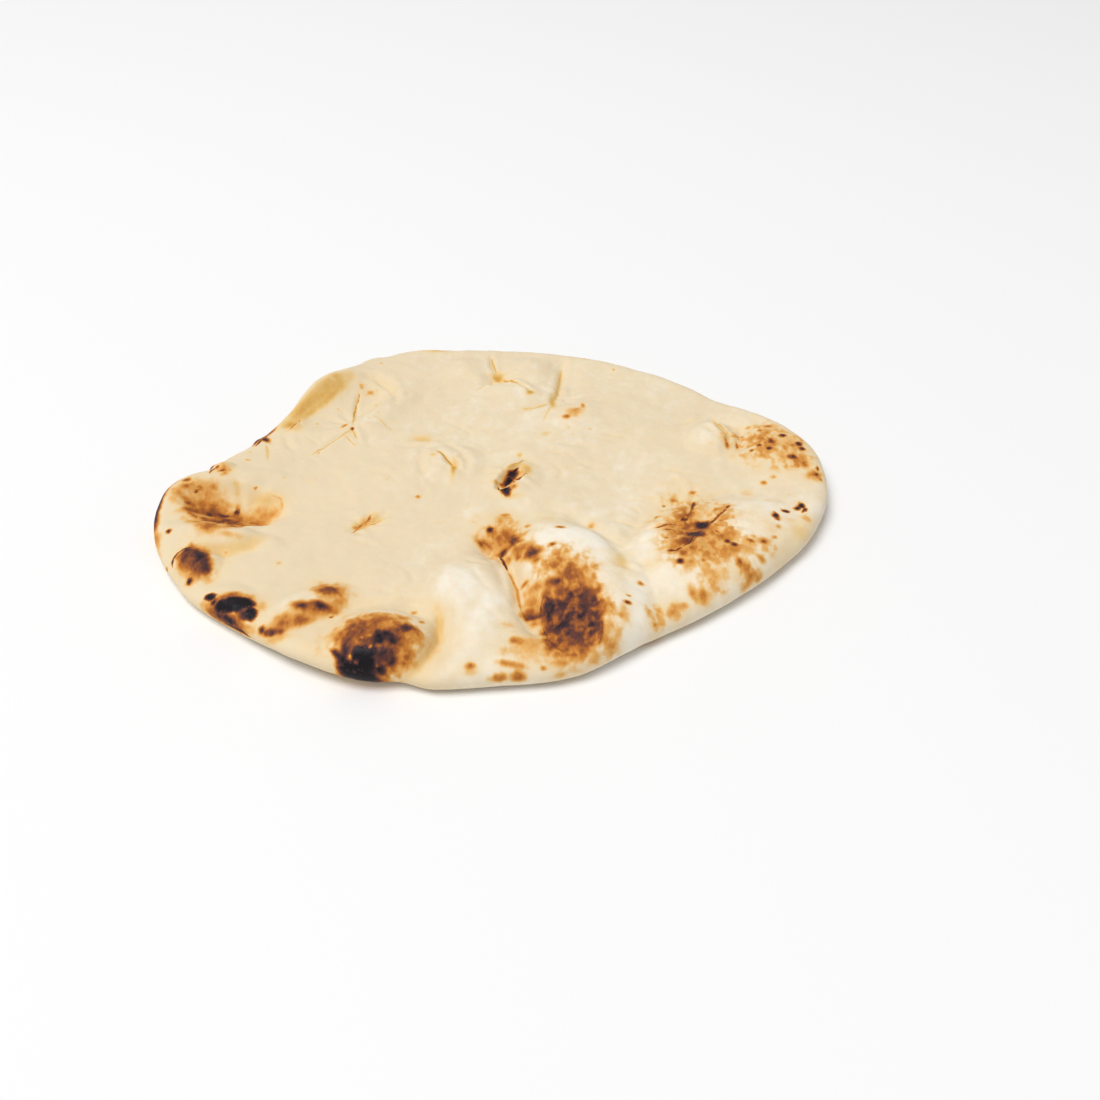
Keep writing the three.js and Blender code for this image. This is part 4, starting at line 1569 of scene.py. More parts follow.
        dot(69, -53, 1.1, 0.52), dot(59, -33.5, 1.2, 0.6), dot(58, -39.5, 1.2, 0.5),
        dot(97, -33, 1.2, 0.34), dot(89, -49.5, 1.6, 0.36), dot(76.5, -22.5, 1.5, 0.38),
        dot(77, -30.5, 1.6, 0.36), dot(75, -16.5, 1.2, 0.3), dot(63, -10.5, 1.4, 0.42),
        dot(59.5, -13.5, 0.8, 0.62), dot(56.5, -21.5, 1.1, 0.42), dot(96.5, -1.4, 1.2, 0.5),
        dot(100.5, 1.5, 1.2, 0.42), dot(104.5, -10.5, 0.9, 0.22),
    )
    right_back: tuple[Patch, ...] = (
        Scorch((90, 27), (7.5, 6.5), 0, 0.22, 0.5, 2, 1.2),
        Scorch((86, 24), (0.8, 2.4), 0, 0.52, 0),
        Scorch((90, 24), (0.9, 2.4), 0, 0.52, 0),
        Scorch((89, 29), (1.6, 1.2), 0, 0.44, 0),
        Scorch((101, 23.5), (9.5, 12.5), -8, 0.31, 0.55, 2, 1.2),
        Scorch((102, 22.5), (1.5, 2), 0, 0.68, 0),
        Scorch((99.5, 32), (1.1, 1.2), 0, 0.54, 0),
        Scorch((103, 34.5), (1.5, 1.2), 0, 0.46, 0),
        Scorch((95.5, 35.5), (1.1, 1.2), 0, 0.38, 0),
        Scorch((107.5, 26.5), (1.6, 1.2), -8, 0.97, 0, 2.4),
        Scorch((112.5, 20.5), (1.6, 1.5), -24, 0.88, 0, 2.4),
        Scorch((113.5, 17), (1.2, 1.4), -24, 0.92, 0, 2.4),
        Scorch((109, 20.5), (7.5, 9), -24, 0.33, 0.45, 2, 1.2),
        Scorch((109.5, 9), (5.9, 6), -31, 0.29, 0.55, 2, 1.2),
        Scorch((108.5, 11.5), (2.4, 1.4), -8, 0.76, 0.2),
        Scorch((112, 7), (1.8, 3.1), 0, 0.5, 0.2),
        Scorch((115, 0.4), (3.6, 3.6), -44, 0.4, 0.35),
        Scorch((117, 4.1), (0.7, 1.6), 0, 0.84, 0),
        gilt(((82.5, 45), (84.5, 37), (86, 31), (87, 24)), 0.6, 0.34, 0.2),
        dot(92.5, 31, 0.8, 0.52), dot(94.5, 18, 1.1, 0.64), dot(101, 17.5, 1.1, 0.9),
        dot(97.5, 20.5, 0.9, 0.78), dot(100, 21.5, 0.8, 0.62), dot(116, 1, 0.8, 0.74),
        dot(117, -1.6, 0.8, 0.68),
    )
    front_rim: tuple[Patch, ...] = (
        Scorch((8, -89), (2.5, 3.2), 0, 0.5, 0.2, 2.4, 1.0),
        Scorch((-5.8, -100), (1.8, 1.6), 0, 0.54, 0.1),
        Scorch((-5.7, -102), (3.3, 1.8), 0, 0.2, 0.1),
        Scorch((3, -103.5), (2.6, 1.9), 0, 0.47, 0.1, 2.4, 1.4),
        Scorch((9, -103.5), (3, 2.1), 0, 0.5, 0.1, 2.4, 1.4),
        Scorch((16.5, -100), (1.2, 0.9), 0, 0.46, 0),
        Scorch((22, -102), (2.7, 2.2), 0, 0.28, 0.1),
        Scorch((26.5, -100), (5.3, 1.7), 0, 0.18, 0),
        Scorch((43, -75), (1.2, 0.9), 0, 0.8, 0, 2.4),
        Scorch((51.5, -77.5), (2.7, 4.6), 8, 0.22, 0.4, 2, 1.6),
        Scorch((59.5, -72), (3.4, 2.2), 0, 0.38, 0.2, 2, 0.9),
        Scorch((57.5, -74), (1.6, 1.1), 0, 0.34, 0.3, 2, 1.6),
        Scorch((65, -67), (1.9, 4.2), 13, 0.44, 0.2, 2, 0.9),
        Scorch((68, -67.5), (2.4, 3.1), 0, 0.46, 0.2, 2, 0.9),
        Scorch((70, -69), (2, 1.2), 0, 0.22, 0.3, 2, 1.4),
        Scorch((4.6, -94.5), (2.7, 2.8), 0, 0.22, 0.2),
        Scorch((57.5, -75), (4, 2.6), 0, 0.24),
        Scorch((39.5, -86), (2.8, 4.3), 0, 0.2, 0.2),
        Streak(((49.5, -74), (50.5, -78), (52, -81)), 1.4, 0.32),
        Streak(((53, -72), (53.5, -76.5), (54.5, -80.5)), 1.4, 0.31),
        Streak(((2.3, -98.5), (5.4, -99), (8, -99.5), (11.5, -100)), 1.3, 0.4, 0.2),
        dot(48, -63, 1.1, 0.52), dot(40.5, -81, 1.5, 0.34), dot(43.5, -71.5, 0.6, 0.55),
    )
    rim: tuple[RimScorch, ...] = (
        RimScorch(190, 8, 0.7, 0.3, 1.0),
        RimScorch(178, 7, 0.66, 0.24, 0.84),
        RimScorch(161, 4.5, 0.6, 0.45, 1.02),
        RimScorch(223, 6, 0.8, 0.4, 0.82),
        RimScorch(70, 4.5, 0.7, 0.35, 0.55),
    )

    def patches(self) -> tuple[Patch, ...]:
        """Every patch and streak of the upper face."""
        return (
            self.great_blister + self.front_blister + self.left_side + self.left_pocket + self.back
            + self.burst + self.right_blister + self.right_back + self.front_rim
        )  # fmt: skip


@dataclass(frozen=True)
class SkinRelief:
    """Fine relief of the upper skin: low swells, ripples, flow lines, pimples, crusty char and puckers."""

    swell: Bumps = Bumps(0.6, 21.0, 2)
    ripple: Bumps = Bumps(0.42, 8.0)
    # Flow lines, drawn out along X: where they show, how far they bend, and how high they are
    flow_shows: Point = (-0.1, 0.5)
    flow_field_wave: float = 40.0
    flow_bend: float = 5.0
    flow_bend_wave: float = 34.0
    flow: Bumps = Bumps(0.1, 2.6, 2)
    flow_draw: float = 0.16
    pimples: Strewing = Strewing(240, 1.2, 3.4, 2.0)
    pimple_height: float = 0.22
    # Rough crust, and from and up to what toasting it forms
    crust: Bumps = Bumps(0.34, 3.2)
    crust_toast: Point = (0.3, 0.75)
    wander: Bumps = Bumps(1.0, 16.0, 2)
    puckers: tuple[Pucker, ...] = (
        Pucker((-3, 77), 17, 7, 0.3),
        Pucker((-19, 12), 13, 8, 0.2),
        Pucker((4, 2), 16, 9, 0.22),
        Pucker((69, -34), 24, 10, 0.4),
        Pucker((-58, 40), 22, 8, 0.25),
        Pucker((-46, -25), 12, 7, 0.2),
        Pucker((24, 62), 16, 6, 0.2),
        Pucker((88, 30), 13, 8, 0.25),
        Pucker((2, -37), 16, 9, 0.3),
        Pucker((-90, -16), 22, 9, 0.3),
    )

    def rise(self, x: Array, y: Array, toast: Array) -> Array:
        """Height that it adds.

        Args:
            x: Places along X.
            y: Places along Y.
            toast: How far each place is toasted.

        Returns:
            The height at each place.
        """
        low = self.swell.rise(x, y, Draw.SWELL) + self.ripple.rise(x, y, Draw.RIPPLE)
        bend = self.flow_bend * Draw.FLOW_BEND.noise().at(x, y, self.flow_bend_wave)
        shows = smoothstep(*self.flow_shows, Draw.FLOW_FIELD.noise().at(x, y, self.flow_field_wave))
        flow = shows * self.flow.rise(x * self.flow_draw, y + bend, Draw.FLOW)
        pimples = self.pimple_height * self.pimples.strength(x, y, Draw.PIMPLES.seed())
        crust = smoothstep(*self.crust_toast, toast) * self.crust.rise(x, DRAWN_OUT * y, Draw.CRUST)
        wander = self.wander.rise(x, y, Draw.PUCKER_WANDER)
        gathered = sum(pucker.rise(x, y, wander) for pucker in self.puckers)
        return low + flow + pimples + crust + gathered


@dataclass(frozen=True)
class UnderSkin:
    """The underside: soft golden clouds, strewn brown spots and shallow dimples."""

    cloud: Bumps = Bumps(1.0, 30.0)
    cloud_edge: Point = (-0.25, 0.8)
    cloud_gold: float = 0.26
    cloud_speckle: float = 0.2
    spots: Strewing = Strewing(64, 2.5, 11.0, 1.6)
    spot_warp: Bumps = Bumps(2.2, 9.0)
    spot_edge: Point = (0.22, 0.75)
    spot_toast: float = 0.6
    spot_speckle: float = 0.3
    dimple: Bumps = Bumps(0.45, 14.0)

    def levels(self, x: Array, y: Array) -> dict[str, Array]:
        """How it is baked.

        Args:
            x: Places along X.
            y: Places along Y.

        Returns:
            Toasting, the share that is covered with speckles, and how golden it is.
        """
        cloud = smoothstep(*self.cloud_edge, self.cloud.rise(x, y, Draw.UNDER_CLOUD))
        at_x = x + self.spot_warp.rise(x, y, Draw.UNDER_WARP_X)
        at_y = y + self.spot_warp.rise(x, y, Draw.UNDER_WARP_Y)
        spots = smoothstep(*self.spot_edge, self.spots.strength(at_x, at_y, Draw.UNDER_SPOTS.seed()))
        return {
            "toast": self.spot_toast * spots,
            "speckle": self.cloud_speckle * cloud + self.spot_speckle * spots,
            "gold": self.cloud_gold * cloud,
        }

    def dimples(self, x: Array, y: Array) -> Array:
        """Depth of its dimples at each place."""
        return np.maximum(self.dimple.rise(x, y, Draw.UNDER_DIMPLE), 0.0)


@dataclass(frozen=True)
class Naan:
    """The bread: a closed skin of two ringed faces over the same form as its solid, with finer relief."""

    outline: Outline = Outline()
    browning: Browning = Browning()
    finish: CrustFinish = CrustFinish()
    skin: SkinRelief = SkinRelief()
    under_skin: UnderSkin = UnderSkin()
    wrinkles: WrinkleField = WrinkleField()
    crumb_thickness: float = 6.6
    rim_thick: float = 9.4
    rim_thin: float = 5.4
    thick_bearing: float = 285.0
    swell_reach: float = 24.0
    edge_roll: float = 5.2
    roll_length: float = 7.6
    # The rim's small unevenness, read from noise round a circle
    rim_bumps: Bumps = Bumps(0.55, 7.0)
    rim_circle: float = 40.0
    # Painted highlight and shade: how far above the crumb a blister starts to be painted paler and is
    # palest, and how much painted shade darkens the left end, and over what reach
    highlight_rise: Point = (0.8, 6.5)
    left_shade: float = 0.35
    left_shade_reach: Point = (20.0, 75.0)
    # Unevenness of patches: distance between its bumps on large and small ones, and how far it shifts them
    coarse_wave: float = 5.0
    fine_wave: float = 2.3
    edge_layers: int = 3
    shift: float = 0.2
    shift_wave: float = 1.2
    shift_layers: int = 2
    small_patch: float = 2.8
    thin_streak: float = 1.3
    freckles: Strewing = Strewing(110, 0.5, 1.3, 2.5)
    freckle_toast: float = 0.2
    under_fade: Point = (0.0, 0.9)
    top: Rings = Rings(160, 12, 1.0, 1)
    under: Rings = Rings(80, 7, 0.875, -1)
    # Each face's disc on the map: middle and radius, and how far the band under the rim reaches past it
    top_disc: tuple[float, float, float] = (0.38, 0.62, 0.36)
    under_disc: tuple[float, float, float] = (0.79, 0.21, 0.19)
    rim_band: float = 0.06
    ripple_count: int = 7
    ripple_height: float = 0.32
    ripple_longest: float = 96.0
    ripple_shortest: float = 34.0
    lifts: tuple[RimLift, ...] = (
        RimLift(187, 14, 6.0, 44),
        RimLift(137, 12, 7.5, 30),
        RimLift(240, 12, 2.6, 40),
        RimLift(8, 20, 1.8, 46),
    )
    swells: tuple[Swell, ...] = (
        Swell((-34, -88), (18.5, 17), 0, 5.2, 1.6, 1.5),
        Swell((-59, -71), (18, 10), 36, 2.8, 1.2, 1.7),
        Swell((-84, -68), (14, 8), -40, 1.4, 1.0),
        Swell((-100.5, -49), (9.5, 10.5), 20, 3.0, 1.3, 1.3),
        Swell((-96, -36), (25, 8.5), -6, 3.4, 1.2, 1.5),
        Swell((-47, 52), (30, 11), 62, 2.0, 1.0),
        Swell((-17, 84), (13, 13), 0, 1.8, 1.0),
        Swell((10, 84), (12, 12), 0, 1.8, 1.0),
        Swell((3, 64), (15, 11), -20, 1.8, 1.0),
        Swell((29, 47), (15, 12), 30, 1.8, 1.0),
        Swell((-19, 13), (14, 13), 0, 1.8, 1.3, 1.3),
        Swell((5, 2), (12, 14), -25, 2.4, 1.4),
        Swell((27, -60), (40, 23), -70, 6.2, 1.5, 1.2),
        Swell((-9, -67), (31, 20), -80, 4.4, 1.1, 2.2),
        Swell((72, -38), (38, 25), 42, 5.0, 1.5, 1.3),
        Swell((-101.5, 5), (4.5, 3.4), 20, 1.8, 1.0, 1.5),
        Swell((81, 30), (13, 11), 60, 3.2, 1.3, 1.2),
        Swell((101, 22), (20, 17), 70, 2.4, 1.2),
        Swell((-94, -16), (20, 12.5), -6, -5.2, 1.5, 1.3),
        Swell((-63, 56), (27, 15), 57, -3.6, 1.5, 1.4),
        Swell((-3, 76), (9, 7), 0, -2.4, 1.0),
        Swell((-18.5, 12), (6.5, 2.6), -52, -2.0, 1.0, 1.5),
        Swell((4, 1.5), (9, 4.8), 56, -4.6, 1.4, 1.3),
        Swell((25, -77), (20, 11.5), -82, -2.6, 2.2),
        Swell((68, -31), (14, 9), 35, -2.8, 1.0),
        Swell((-46, -26), (9, 6), 35, -1.2, 1.0),
    )
    valleys: tuple[Valley, ...] = (
        Valley(((-2, -38), (5, -52), (10, -66), (15, -80)), 5.0, 4.0),
        Valley(((-27, -70), (-17, -76), (-15, -88), (-20, -99)), 4.5, 1.7),
        Valley(((86, 40), (92, 31), (91, 24)), 4.5, 1.8),
        Valley(((23, 56), (26, 71), (23, 87)), 4.5, 1.6),
    )
    folds: tuple[Fold, ...] = (
        Fold(((11, -80), (8.5, -70), (7, -60), (5, -50), (2, -42), (-3, -34)), 2.4, 10.0),
        Fold(((6, -72), (13, -73.5), (19, -72)), 1.6, 6.0),
        Fold(((9, 9), (4.5, 2), (0, -5)), 1.4, 4.5),
        Fold(((0, -3), (3, 4), (8, 10)), 0.8, 3.5),
        Fold(((-78, 48), (-79, 39), (-85, 32)), 0.8, 3.0),
    )
    creases: tuple[Crease, ...] = (
        Crease(((-4, 79), (-6, 87), (-7, 98)), 0.9, 0.8, 0.1),
        Crease(((-6, 81), (4, 72), (12, 62)), 0.9, 0.9, 0.12),
        Crease(((-3, 79), (-11, 70)), 1.4, 0.5, 0.08),
        Crease(((24, 92), (23, 78), (22, 65), (18, 53)), 1.2, 1.1, 0.12),
        Crease(((20, 56), (10, 51), (4, 49)), 1.8, 0.7, 0.1),
        Crease(((0, -37), (4, -47), (6, -53), (7, -60), (8, -69), (10, -76)), 1.2, 1.4, 0.16),
        Crease(((7.5, -71.5), (13, -73.5), (18, -73)), 0.9, 0.9, 0.3),
        Crease(((-22, -68), (-17, -74), (-16.5, -86), (-19, -94), (-24, -102)), 1.3, 1.2, 0.24),
        Crease(((-50, -78), (-47, -72), (-37, -68.5), (-27, -67.5), (-18, -71)), 1.4, 0.7, 0.05),
        # The groove under the left pocket's lip: its gold is painted shade
        Crease(((-104, -38), (-98, -43), (-92, -43.5), (-84, -40), (-78, -31)), 3.2, 1.3, 0.2),
        Crease(((-60, 66), (-60, 57), (-58, 41), (-58, 33)), 0.7, 0.5, 0.06),
        Crease(((-58, 34), (-63, 30), (-71, 19)), 0.7, 0.4, 0.05),
        Crease(((-59, 36), (-56, 29), (-54, 24)), 0.7, 0.3, 0.06),
        Crease(((-62, 77), (-54, 75.5), (-47, 69), (-44, 60), (-44, 53)), 1.4, 1.1, 0.1),
        Crease(((-27, 27), (-30, 22), (-30.5, 14), (-29.5, 8), (-26, 2)), 1.3, 0.7, 0.08),
        Crease(((-23, 28), (-16, 20), (-12.5, 12), (-13, 5)), 1.3, 0.6, 0.06),
        Crease(((-84, 31), (-82, 24), (-78, 20)), 1.3, 0.5, 0.08),
        Crease(((-36, 30), (-28, 29), (-20, 30)), 1.4, 0.4, 0.08),
        Crease(((-51, -30), (-46, -24), (-41, -20)), 0.9, 0.7, 0.2),
        Crease(((66, -30), (67, -21), (71, -8)), 0.9, 0.9, 0.2),
        Crease(((72, -32), (77, -27), (84, -17)), 0.9, 0.9, 0.25),
        Crease(((51, -32), (60, -30), (70, -32)), 0.9, 0.8, 0.15),
        Crease(((70, -39), (60, -47), (53, -48)), 0.9, 0.7, 0.2),
        Crease(((71, -33), (82, -43), (90, -46)), 0.9, 0.6, 0.12),
        Crease(((82, 44), (84, 33), (87, 29), (86, 23)), 1.1, 1.0, 0.3),
        Crease(((10, -14), (24, -18), (36, -30), (43, -48), (45, -62)), 2.4, 0.8, 0.02),
        Crease(((45, -42), (50, -20), (60, -8)), 2.4, 0.6, 0.02),
        Crease(((-14, -38), (-20, -50), (-22, -62)), 2.6, 0.5, 0.02),
    )

    def rim(self, bearing: Array) -> Array:
        """Distance from the middle to the slightly uneven rim, at bearings in radians."""
        around_x, around_y = self.rim_circle * np.cos(bearing), self.rim_circle * np.sin(bearing)
        return self.outline.rim(bearing) + self.rim_bumps.rise(around_x, around_y, Draw.RIM)

    def thickness(self, bearing: Array, inset: Array) -> Array:
        """Thickness before the blisters: even crumb, with a rim that swells towards its thick side.

        Args:
            bearing: Bearings in radians.
            inset: Distances in from the rim.

        Returns:
            The thickness at each place.
        """
        side = 0.5 + 0.5 * np.cos(bearing - math.radians(self.thick_bearing))
        rim = self.rim_thin + (self.rim_thick - self.rim_thin) * side
        return self.crumb_thickness + (rim - self.crumb_thickness) * bell(inset / self.swell_reach)

    def ripple(self, x: Array, y: Array) -> Array:
        """The slow unevenness of stretched dough: long waves, each turned by the golden angle from the last.

        Args:
            x: Places along X.
            y: Places along Y.

        Returns:
            Height that they add.
        """
        golden = math.pi * (3.0 - math.sqrt(5.0))
        height = np.zeros_like(x)
        for i in range(self.ripple_count):
            share = i / (self.ripple_count - 1)
            wave = self.ripple_longest + (self.ripple_shortest - self.ripple_longest) * share
            along = x * math.cos(i * golden) + y * math.sin(i * golden)
            height += self.ripple_height * np.sin(2.0 * math.pi * along / wave + i * i)
        return height

    def main_relief(self, x: Array, y: Array) -> Array:
        """Height that blisters, hollows, valleys, folds and slow waves add, as in the solid."""
        forms = self.swells + self.valleys + self.folds
        return sum((form.rise(x, y) for form in forms), self.ripple(x, y))

    def unevenness(self, place: dict[str, Array], wave: float) -> tuple[Array, Array, Array]:
        """What makes a patch's edge ragged and bends it out of shape.

        Args:
            place: Places x, y and z. With z it isn't drawn out on steep sides.
            wave: Distance between its bumps.

        Returns:
            Noise for the edge, and shifts along X and along Y.
        """
        x, y, z = (place[key] for key in "xyz")
        edge = Draw.EDGE.noise().layered(x, y, wave, self.edge_layers, z)
        pull, bend = self.shift * wave, (self.shift_wave * wave, self.shift_layers, z)
        shift_x = pull * Draw.SHIFT_X.noise().layered(x, y, *bend)
        shift_y = pull * Draw.SHIFT_Y.noise().layered(x, y, *bend)
        return edge, shift_x, shift_y

    def toasting(self, place: dict[str, Array], bearing: Array, over: Array) -> dict[str, Array]:
        """How the upper face and the rim are baked.

        Args:
            place: Places x, y and z, and places flat_x and flat_y with the rim's roll laid out flat.
            bearing: Bearings in radians.
            over: How far over the edge each place lies: 0 on the upper face, 2 on the underside.

        Returns:
            The levels that Baking gives, with freckles.
        """
        x, y = place["flat_x"], place["flat_y"]
        coarse, fine = (self.unevenness(place, wave) for wave in (self.coarse_wave, self.fine_wave))
        baking = Baking(len(x))
        for patch in self.browning.patches():
            edge, shift_x, shift_y = fine if np.max(patch.half) < self.small_patch else coarse
            wander = min(1.0, patch.ragged)
            at_x, at_y = x + wander * shift_x, y + wander * shift_y
            strength, glow = patch.strength(at_x, at_y, edge)
            if isinstance(patch, Streak) and patch.half < self.thin_streak:
                baking.lines[patch.tone].add(*patch.course(at_x, at_y, edge))
                strength = np.zeros_like(x)
            baking.add(patch, strength, glow)
        for burn in self.browning.rim:
            baking.burn(burn, burn.strength(bearing, over, coarse[0]))
        found = baking.levels()
        freckle = self.freckles.strength(x, y, Draw.FRECKLES.seed())
        found["toast"] = np.maximum(found["toast"], self.freckle_toast * freckle)
        return found

    def painted_light(self, x: Array, deep: Array) -> Array:
        """Painted light at each place: a painted highlight on puffed, thick skin, less a painted shade that
        darkens the left end.
        """
        puffed = smoothstep(*self.highlight_rise, deep - self.crumb_thickness)
        return puffed - self.left_shade * smoothstep(*self.left_shade_reach, -x)

    def crease_top(self, place: dict[str, Array], baked: dict[str, Array], rounding: Array) -> None:
        """Adds the upper face's creases and fine relief.

        Args:
            place: Its places, whose z is raised.
            baked: How it is baked, whose gold is deepened by the creases, partly with painted shade.
            rounding: 1 on the face, falling to 0 at the rim.
        """
        x, y = place["x"], place["y"]
        creases = self.creases + self.wrinkles.creases(Draw.WRINKLES.seed())
        rises, tones = zip(*(crease.shape(x, y) for crease in creases))
        # The creases' gold, partly painted shade in their bottoms
        baked["gold"] = np.maximum(baked["gold"], np.max(tones, axis=0))
        fine = sum(rises) + self.skin.rise(x, y, baked["toast"])
        place["z"] = place["z"] + fine * (1.0 + rounding) / 2.0

    def bake_under(self, place: dict[str, Array], baked: dict[str, Array], turn: Array) -> None:
        """Gives the underside its own baking and dimples, fading into the rim's.

        Args:
            place: Its places, whose z is raised.
            baked: How the rim is baked, which is replaced away from it.
            turn: How far round the edge each place lies, from 0 on the face.
        """
        x, y = place["x"], place["y"]
        fade = smoothstep(*self.under_fade, turn)
        under = self.under_skin.levels(x, y)
        for key in baked:
            baked[key] = under.get(key, 0.0) * (1.0 - fade) + baked[key] * fade
        place["z"] = place["z"] + self.under_skin.dimples(x, y) * np.cos(turn * math.pi / 2)

    def face(self, rings: Rings) -> dict[str, Array]:
        """The points of one face.

        Args:
            rings: How the face is divided.

        Returns:
            Places x, y and z in millimetres, places with the rim's roll laid out flat, how each point is
            baked, and its place on the map.
        """
        ring, bearing, turn = rings.spread()
        rim, rounding = self.rim(bearing), np.cos(turn * math.pi / 2)
        share = np.minimum(ring / (rings.count - rings.roll), 1.0)
        radius = (rim - self.edge_roll * (1.0 - np.sin(turn * math.pi / 2))) * share
        x, y = self.outline.plan(bearing, radius)
        deep = self.thickness(bearing, rim - radius) + self.main_relief(x, y)
        lift = sum(form.rise(bearing, rim - radius) for form in self.lifts)
        z = lift + deep * (1.0 + rings.side * rounding) / 2.0
        over = turn if rings.side > 0 else 2.0 - turn
        beyond = 0.0 if rings.side > 0 else (rim - self.edge_roll) * (1.0 - share)
        laid = np.where(over > 0.0, rim - self.edge_roll + self.roll_length * over + beyond, radius)
        flat_x, flat_y = self.outline.plan(bearing, laid)
        place = {"x": x, "y": y, "z": z, "flat_x": flat_x, "flat_y": flat_y}
        baked = self.toasting(place, bearing, over)
        # The pale attribute is painted light: painted highlight on puffed skin, painted shade towards the
        # left end
        baked["pale"] = self.painted_light(x, deep)
        if rings.side > 0:
            self.crease_top(place, baked, rounding)
        else:
            self.bake_under(place, baked, turn)
        spread = ring / rings.count
        return {**place, **baked, "u": spread * np.cos(bearing), "v": spread * np.sin(bearing)}

    def rim_triangles(self, under_start: int) -> Array:
        """The band under the rim, which joins two points of the upper rim to each point of the underside's.

        Args:
            under_start: Number of the underside's first point.

        Returns:
            Three point numbers a row.
        """
        i = np.arange(self.under.sectors * self.under.count)
        a, b, c = (self.top.points(self.top.count, 2 * i + step) for step in (0, 1, 2))
        d, e = (under_start + self.under.points(self.under.count, i + step) for step in (0, 1))
        return np.concatenate([np.stack(corners, 1) for corners in ((a, d, b), (b, d, e), (b, e, c))])

    def build(self) -> bpy.types.Object:
        """Makes the bread's mesh with its points' toasting.

        Returns:
            The bread.
        """
        top, under = self.face(self.top), self.face(self.under)
        under_start = len(top["x"])
        upper = self.top.triangles()
        lower = under_start + self.under.triangles()[:, ::-1]
        triangles = np.concatenate([upper, self.rim_triangles(under_start), lower])
        joined = {key: np.concatenate([top[key], under[key]]) for key in top}
        mesh = bpy.data.meshes.new("naan_bread")
        points = MM * np.stack([joined[key] for key in "xyz"], 1)
        mesh.from_pydata(points.tolist(), [], triangles.tolist())
        mesh.polygons.foreach_set("use_smooth", np.ones(len(mesh.polygons), bool))
        for key in BAKED_KEYS:
            attribute = mesh.attributes.new(key, "FLOAT", "POINT")
            attribute.data.foreach_set("value", joined[key].astype(np.float32))
        self.unwrap(mesh, joined, len(upper), under_start)
        bread = bpy.data.objects.new("naan_bread", mesh)
        bpy.context.scene.collection.objects.link(bread)
        return bread

    def unwrap(self, mesh: bpy.types.Mesh, points: dict[str, Array], upper: int, under_start: int) -> None:
        """Lays the two faces side by side on a map, the upper one larger.

        Args:
            mesh: The bread's mesh.
            points: Its points' places on their own face's disc.
            upper: How many triangles the upper face has.
            under_start: Number of the underside's first point.
        """
        corner = np.empty(len(mesh.loops), np.int32)
        mesh.loops.foreach_get("vertex_index", corner)
        is_top = np.arange(len(corner)) < 3 * upper
        edge = 1.0 + self.rim_band * (~is_top & (corner < under_start))
        disc = np.where(is_top[:, None], self.top_disc, self.under_disc)
        u = disc[:, 0] + disc[:, 2] * edge * points["u"][corner]
        v = disc[:, 1] + disc[:, 2] * edge * points["v"][corner]
        layer = mesh.uv_layers.new(name=BAKE_MAP)
        layer.data.foreach_set("uv", np.stack([u, v], 1).ravel().astype(np.float32))

    def dress(self, bread: bpy.types.Object) -> None:
        """Gives the bread its skin and sets it in the place of its solid.

        Args:
            bread: The bread.
        """
        bread.data.materials.append(self.finish.material("naan_crust"))
        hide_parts("naan")
        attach(bread, "root")


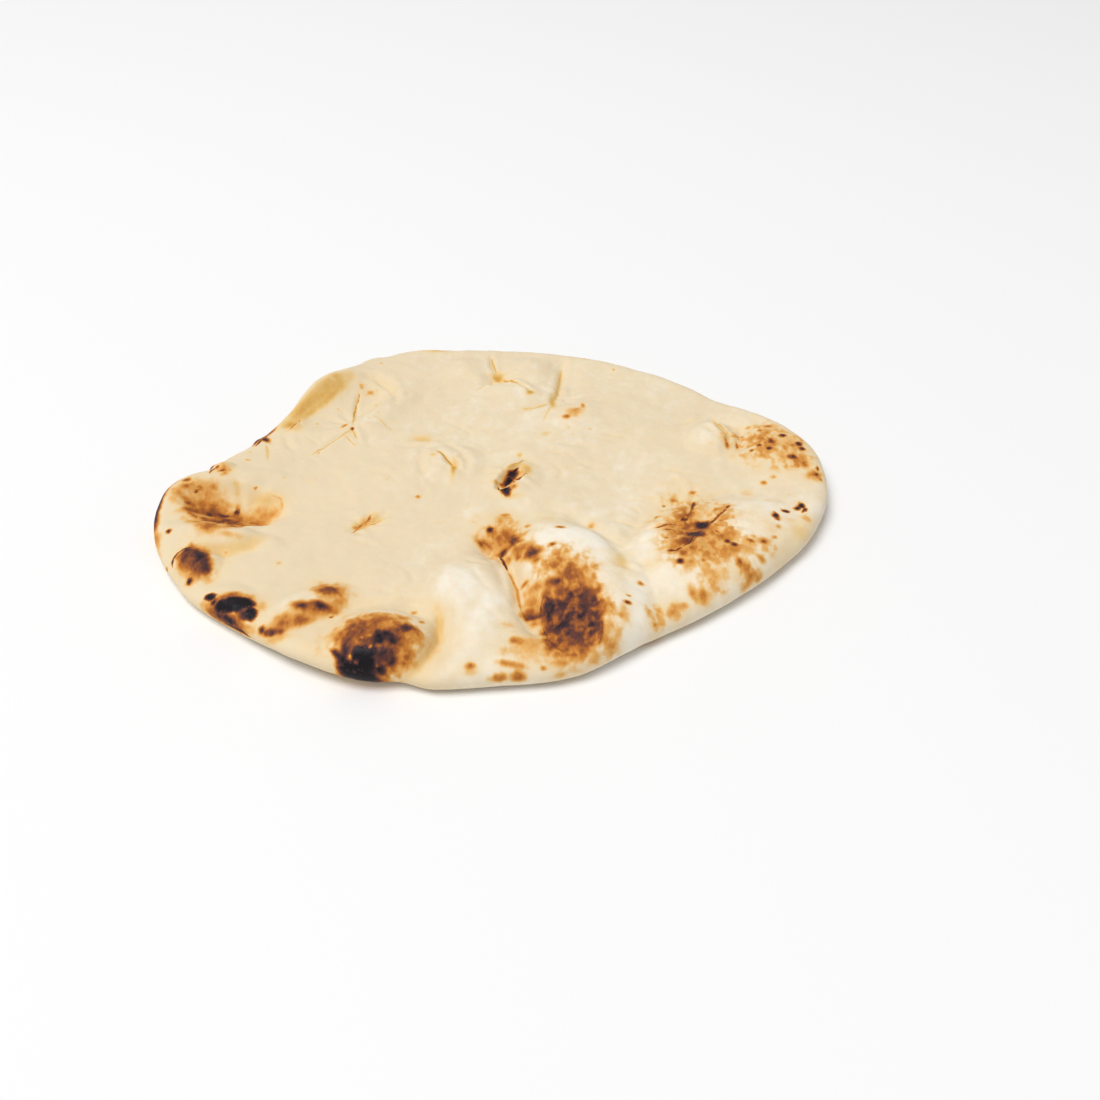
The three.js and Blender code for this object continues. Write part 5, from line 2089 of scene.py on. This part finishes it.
@dataclass(frozen=True)
class Studio:
    """A plain pale floor under soft, even light: in metres, with the floor's drop in millimetres."""

    paper: PaperFinish = PaperFinish()
    floor_half: float = 6.0
    floor_drop: float = 0.1
    sky_strength: float = 0.48
    key_size: float = 2.2
    key_power: float = 71.0
    key_at: tuple[float, float, float] = (-1.05, -0.55, 3.05)

    def floor(self) -> bpy.types.Object:
        """Lays the floor.

        Returns:
            The floor.
        """
        half, level = self.floor_half, -self.floor_drop * MM
        mesh = bpy.data.meshes.new("floor")
        corners = [(-half, -half, level), (half, -half, level), (half, half, level), (-half, half, level)]
        mesh.from_pydata(corners, [], [(0, 1, 2, 3)])
        mesh.materials.append(self.paper.material("floor_paper"))
        floor = bpy.data.objects.new("floor", mesh)
        bpy.context.scene.collection.objects.link(floor)
        return floor

    def light(self) -> bpy.types.Object:
        """Sets an even sky and one large soft lamp over the left.

        Returns:
            The lamp.
        """
        scene = bpy.context.scene
        scene.view_settings.view_transform = "Standard"
        world = bpy.data.worlds.new("sky")
        world.use_nodes = True
        sky = world.node_tree.nodes["Background"]
        sky.inputs["Color"].default_value = (1.0, 1.0, 1.0, 1.0)
        sky.inputs["Strength"].default_value = self.sky_strength
        scene.world = world
        lamp = bpy.data.lights.new("key", "AREA")
        lamp.shape = "DISK"
        lamp.size = self.key_size
        lamp.energy = self.key_power
        key = bpy.data.objects.new("key", lamp)
        key.location = self.key_at
        aim = -key.location.normalized()
        key.rotation_euler = aim.to_track_quat("-Z", "Y").to_euler()
        scene.collection.objects.link(key)
        return key


@dataclass(frozen=True)
class PhotoCamera:
    """A camera that stands as in the photo: its place, degrees that it looks down, lens and sensor."""

    at: tuple[float, float, float] = (18.4, -372.5, 268.0)
    down: float = 38.18
    lens: float = 40.49
    sensor: float = 36.0
    nearest: float = 10.0

    def place(self) -> bpy.types.Object:
        """Makes the camera and looks through it.

        Returns:
            The camera.
        """
        camera = bpy.data.cameras.new("camera")
        camera.lens = self.lens
        camera.sensor_width = self.sensor
        camera.clip_start = self.nearest * MM
        holder = bpy.data.objects.new("camera", camera)
        holder.location = [MM * value for value in self.at]
        holder.rotation_euler = (math.radians(90.0 - self.down), 0.0, 0.0)
        bpy.context.scene.collection.objects.link(holder)
        bpy.context.scene.camera = holder
        return holder


def main() -> None:
    """Builds the camera, the studio and the bread."""
    logging.basicConfig(level=logging.INFO, format="%(name)s: %(message)s")
    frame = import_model()
    LOG.info("frame: %s", ", ".join(frame["nodes"]))
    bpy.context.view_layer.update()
    camera = PhotoCamera().place()
    LOG.info("%s: lens of %.2f mm", camera.name, camera.data.lens)
    studio = Studio()
    floor = studio.floor()
    LOG.info("%s: %.1f m wide", floor.name, 2.0 * studio.floor_half)
    lamp = studio.light()
    LOG.info("%s: lamp of %.0f W", lamp.name, lamp.data.energy)
    naan = Naan()
    bread = naan.build()
    naan.dress(bread)
    LOG.info("%s: %d triangles", bread.name, len(bread.data.polygons))


if __name__ == "__main__":
    main()
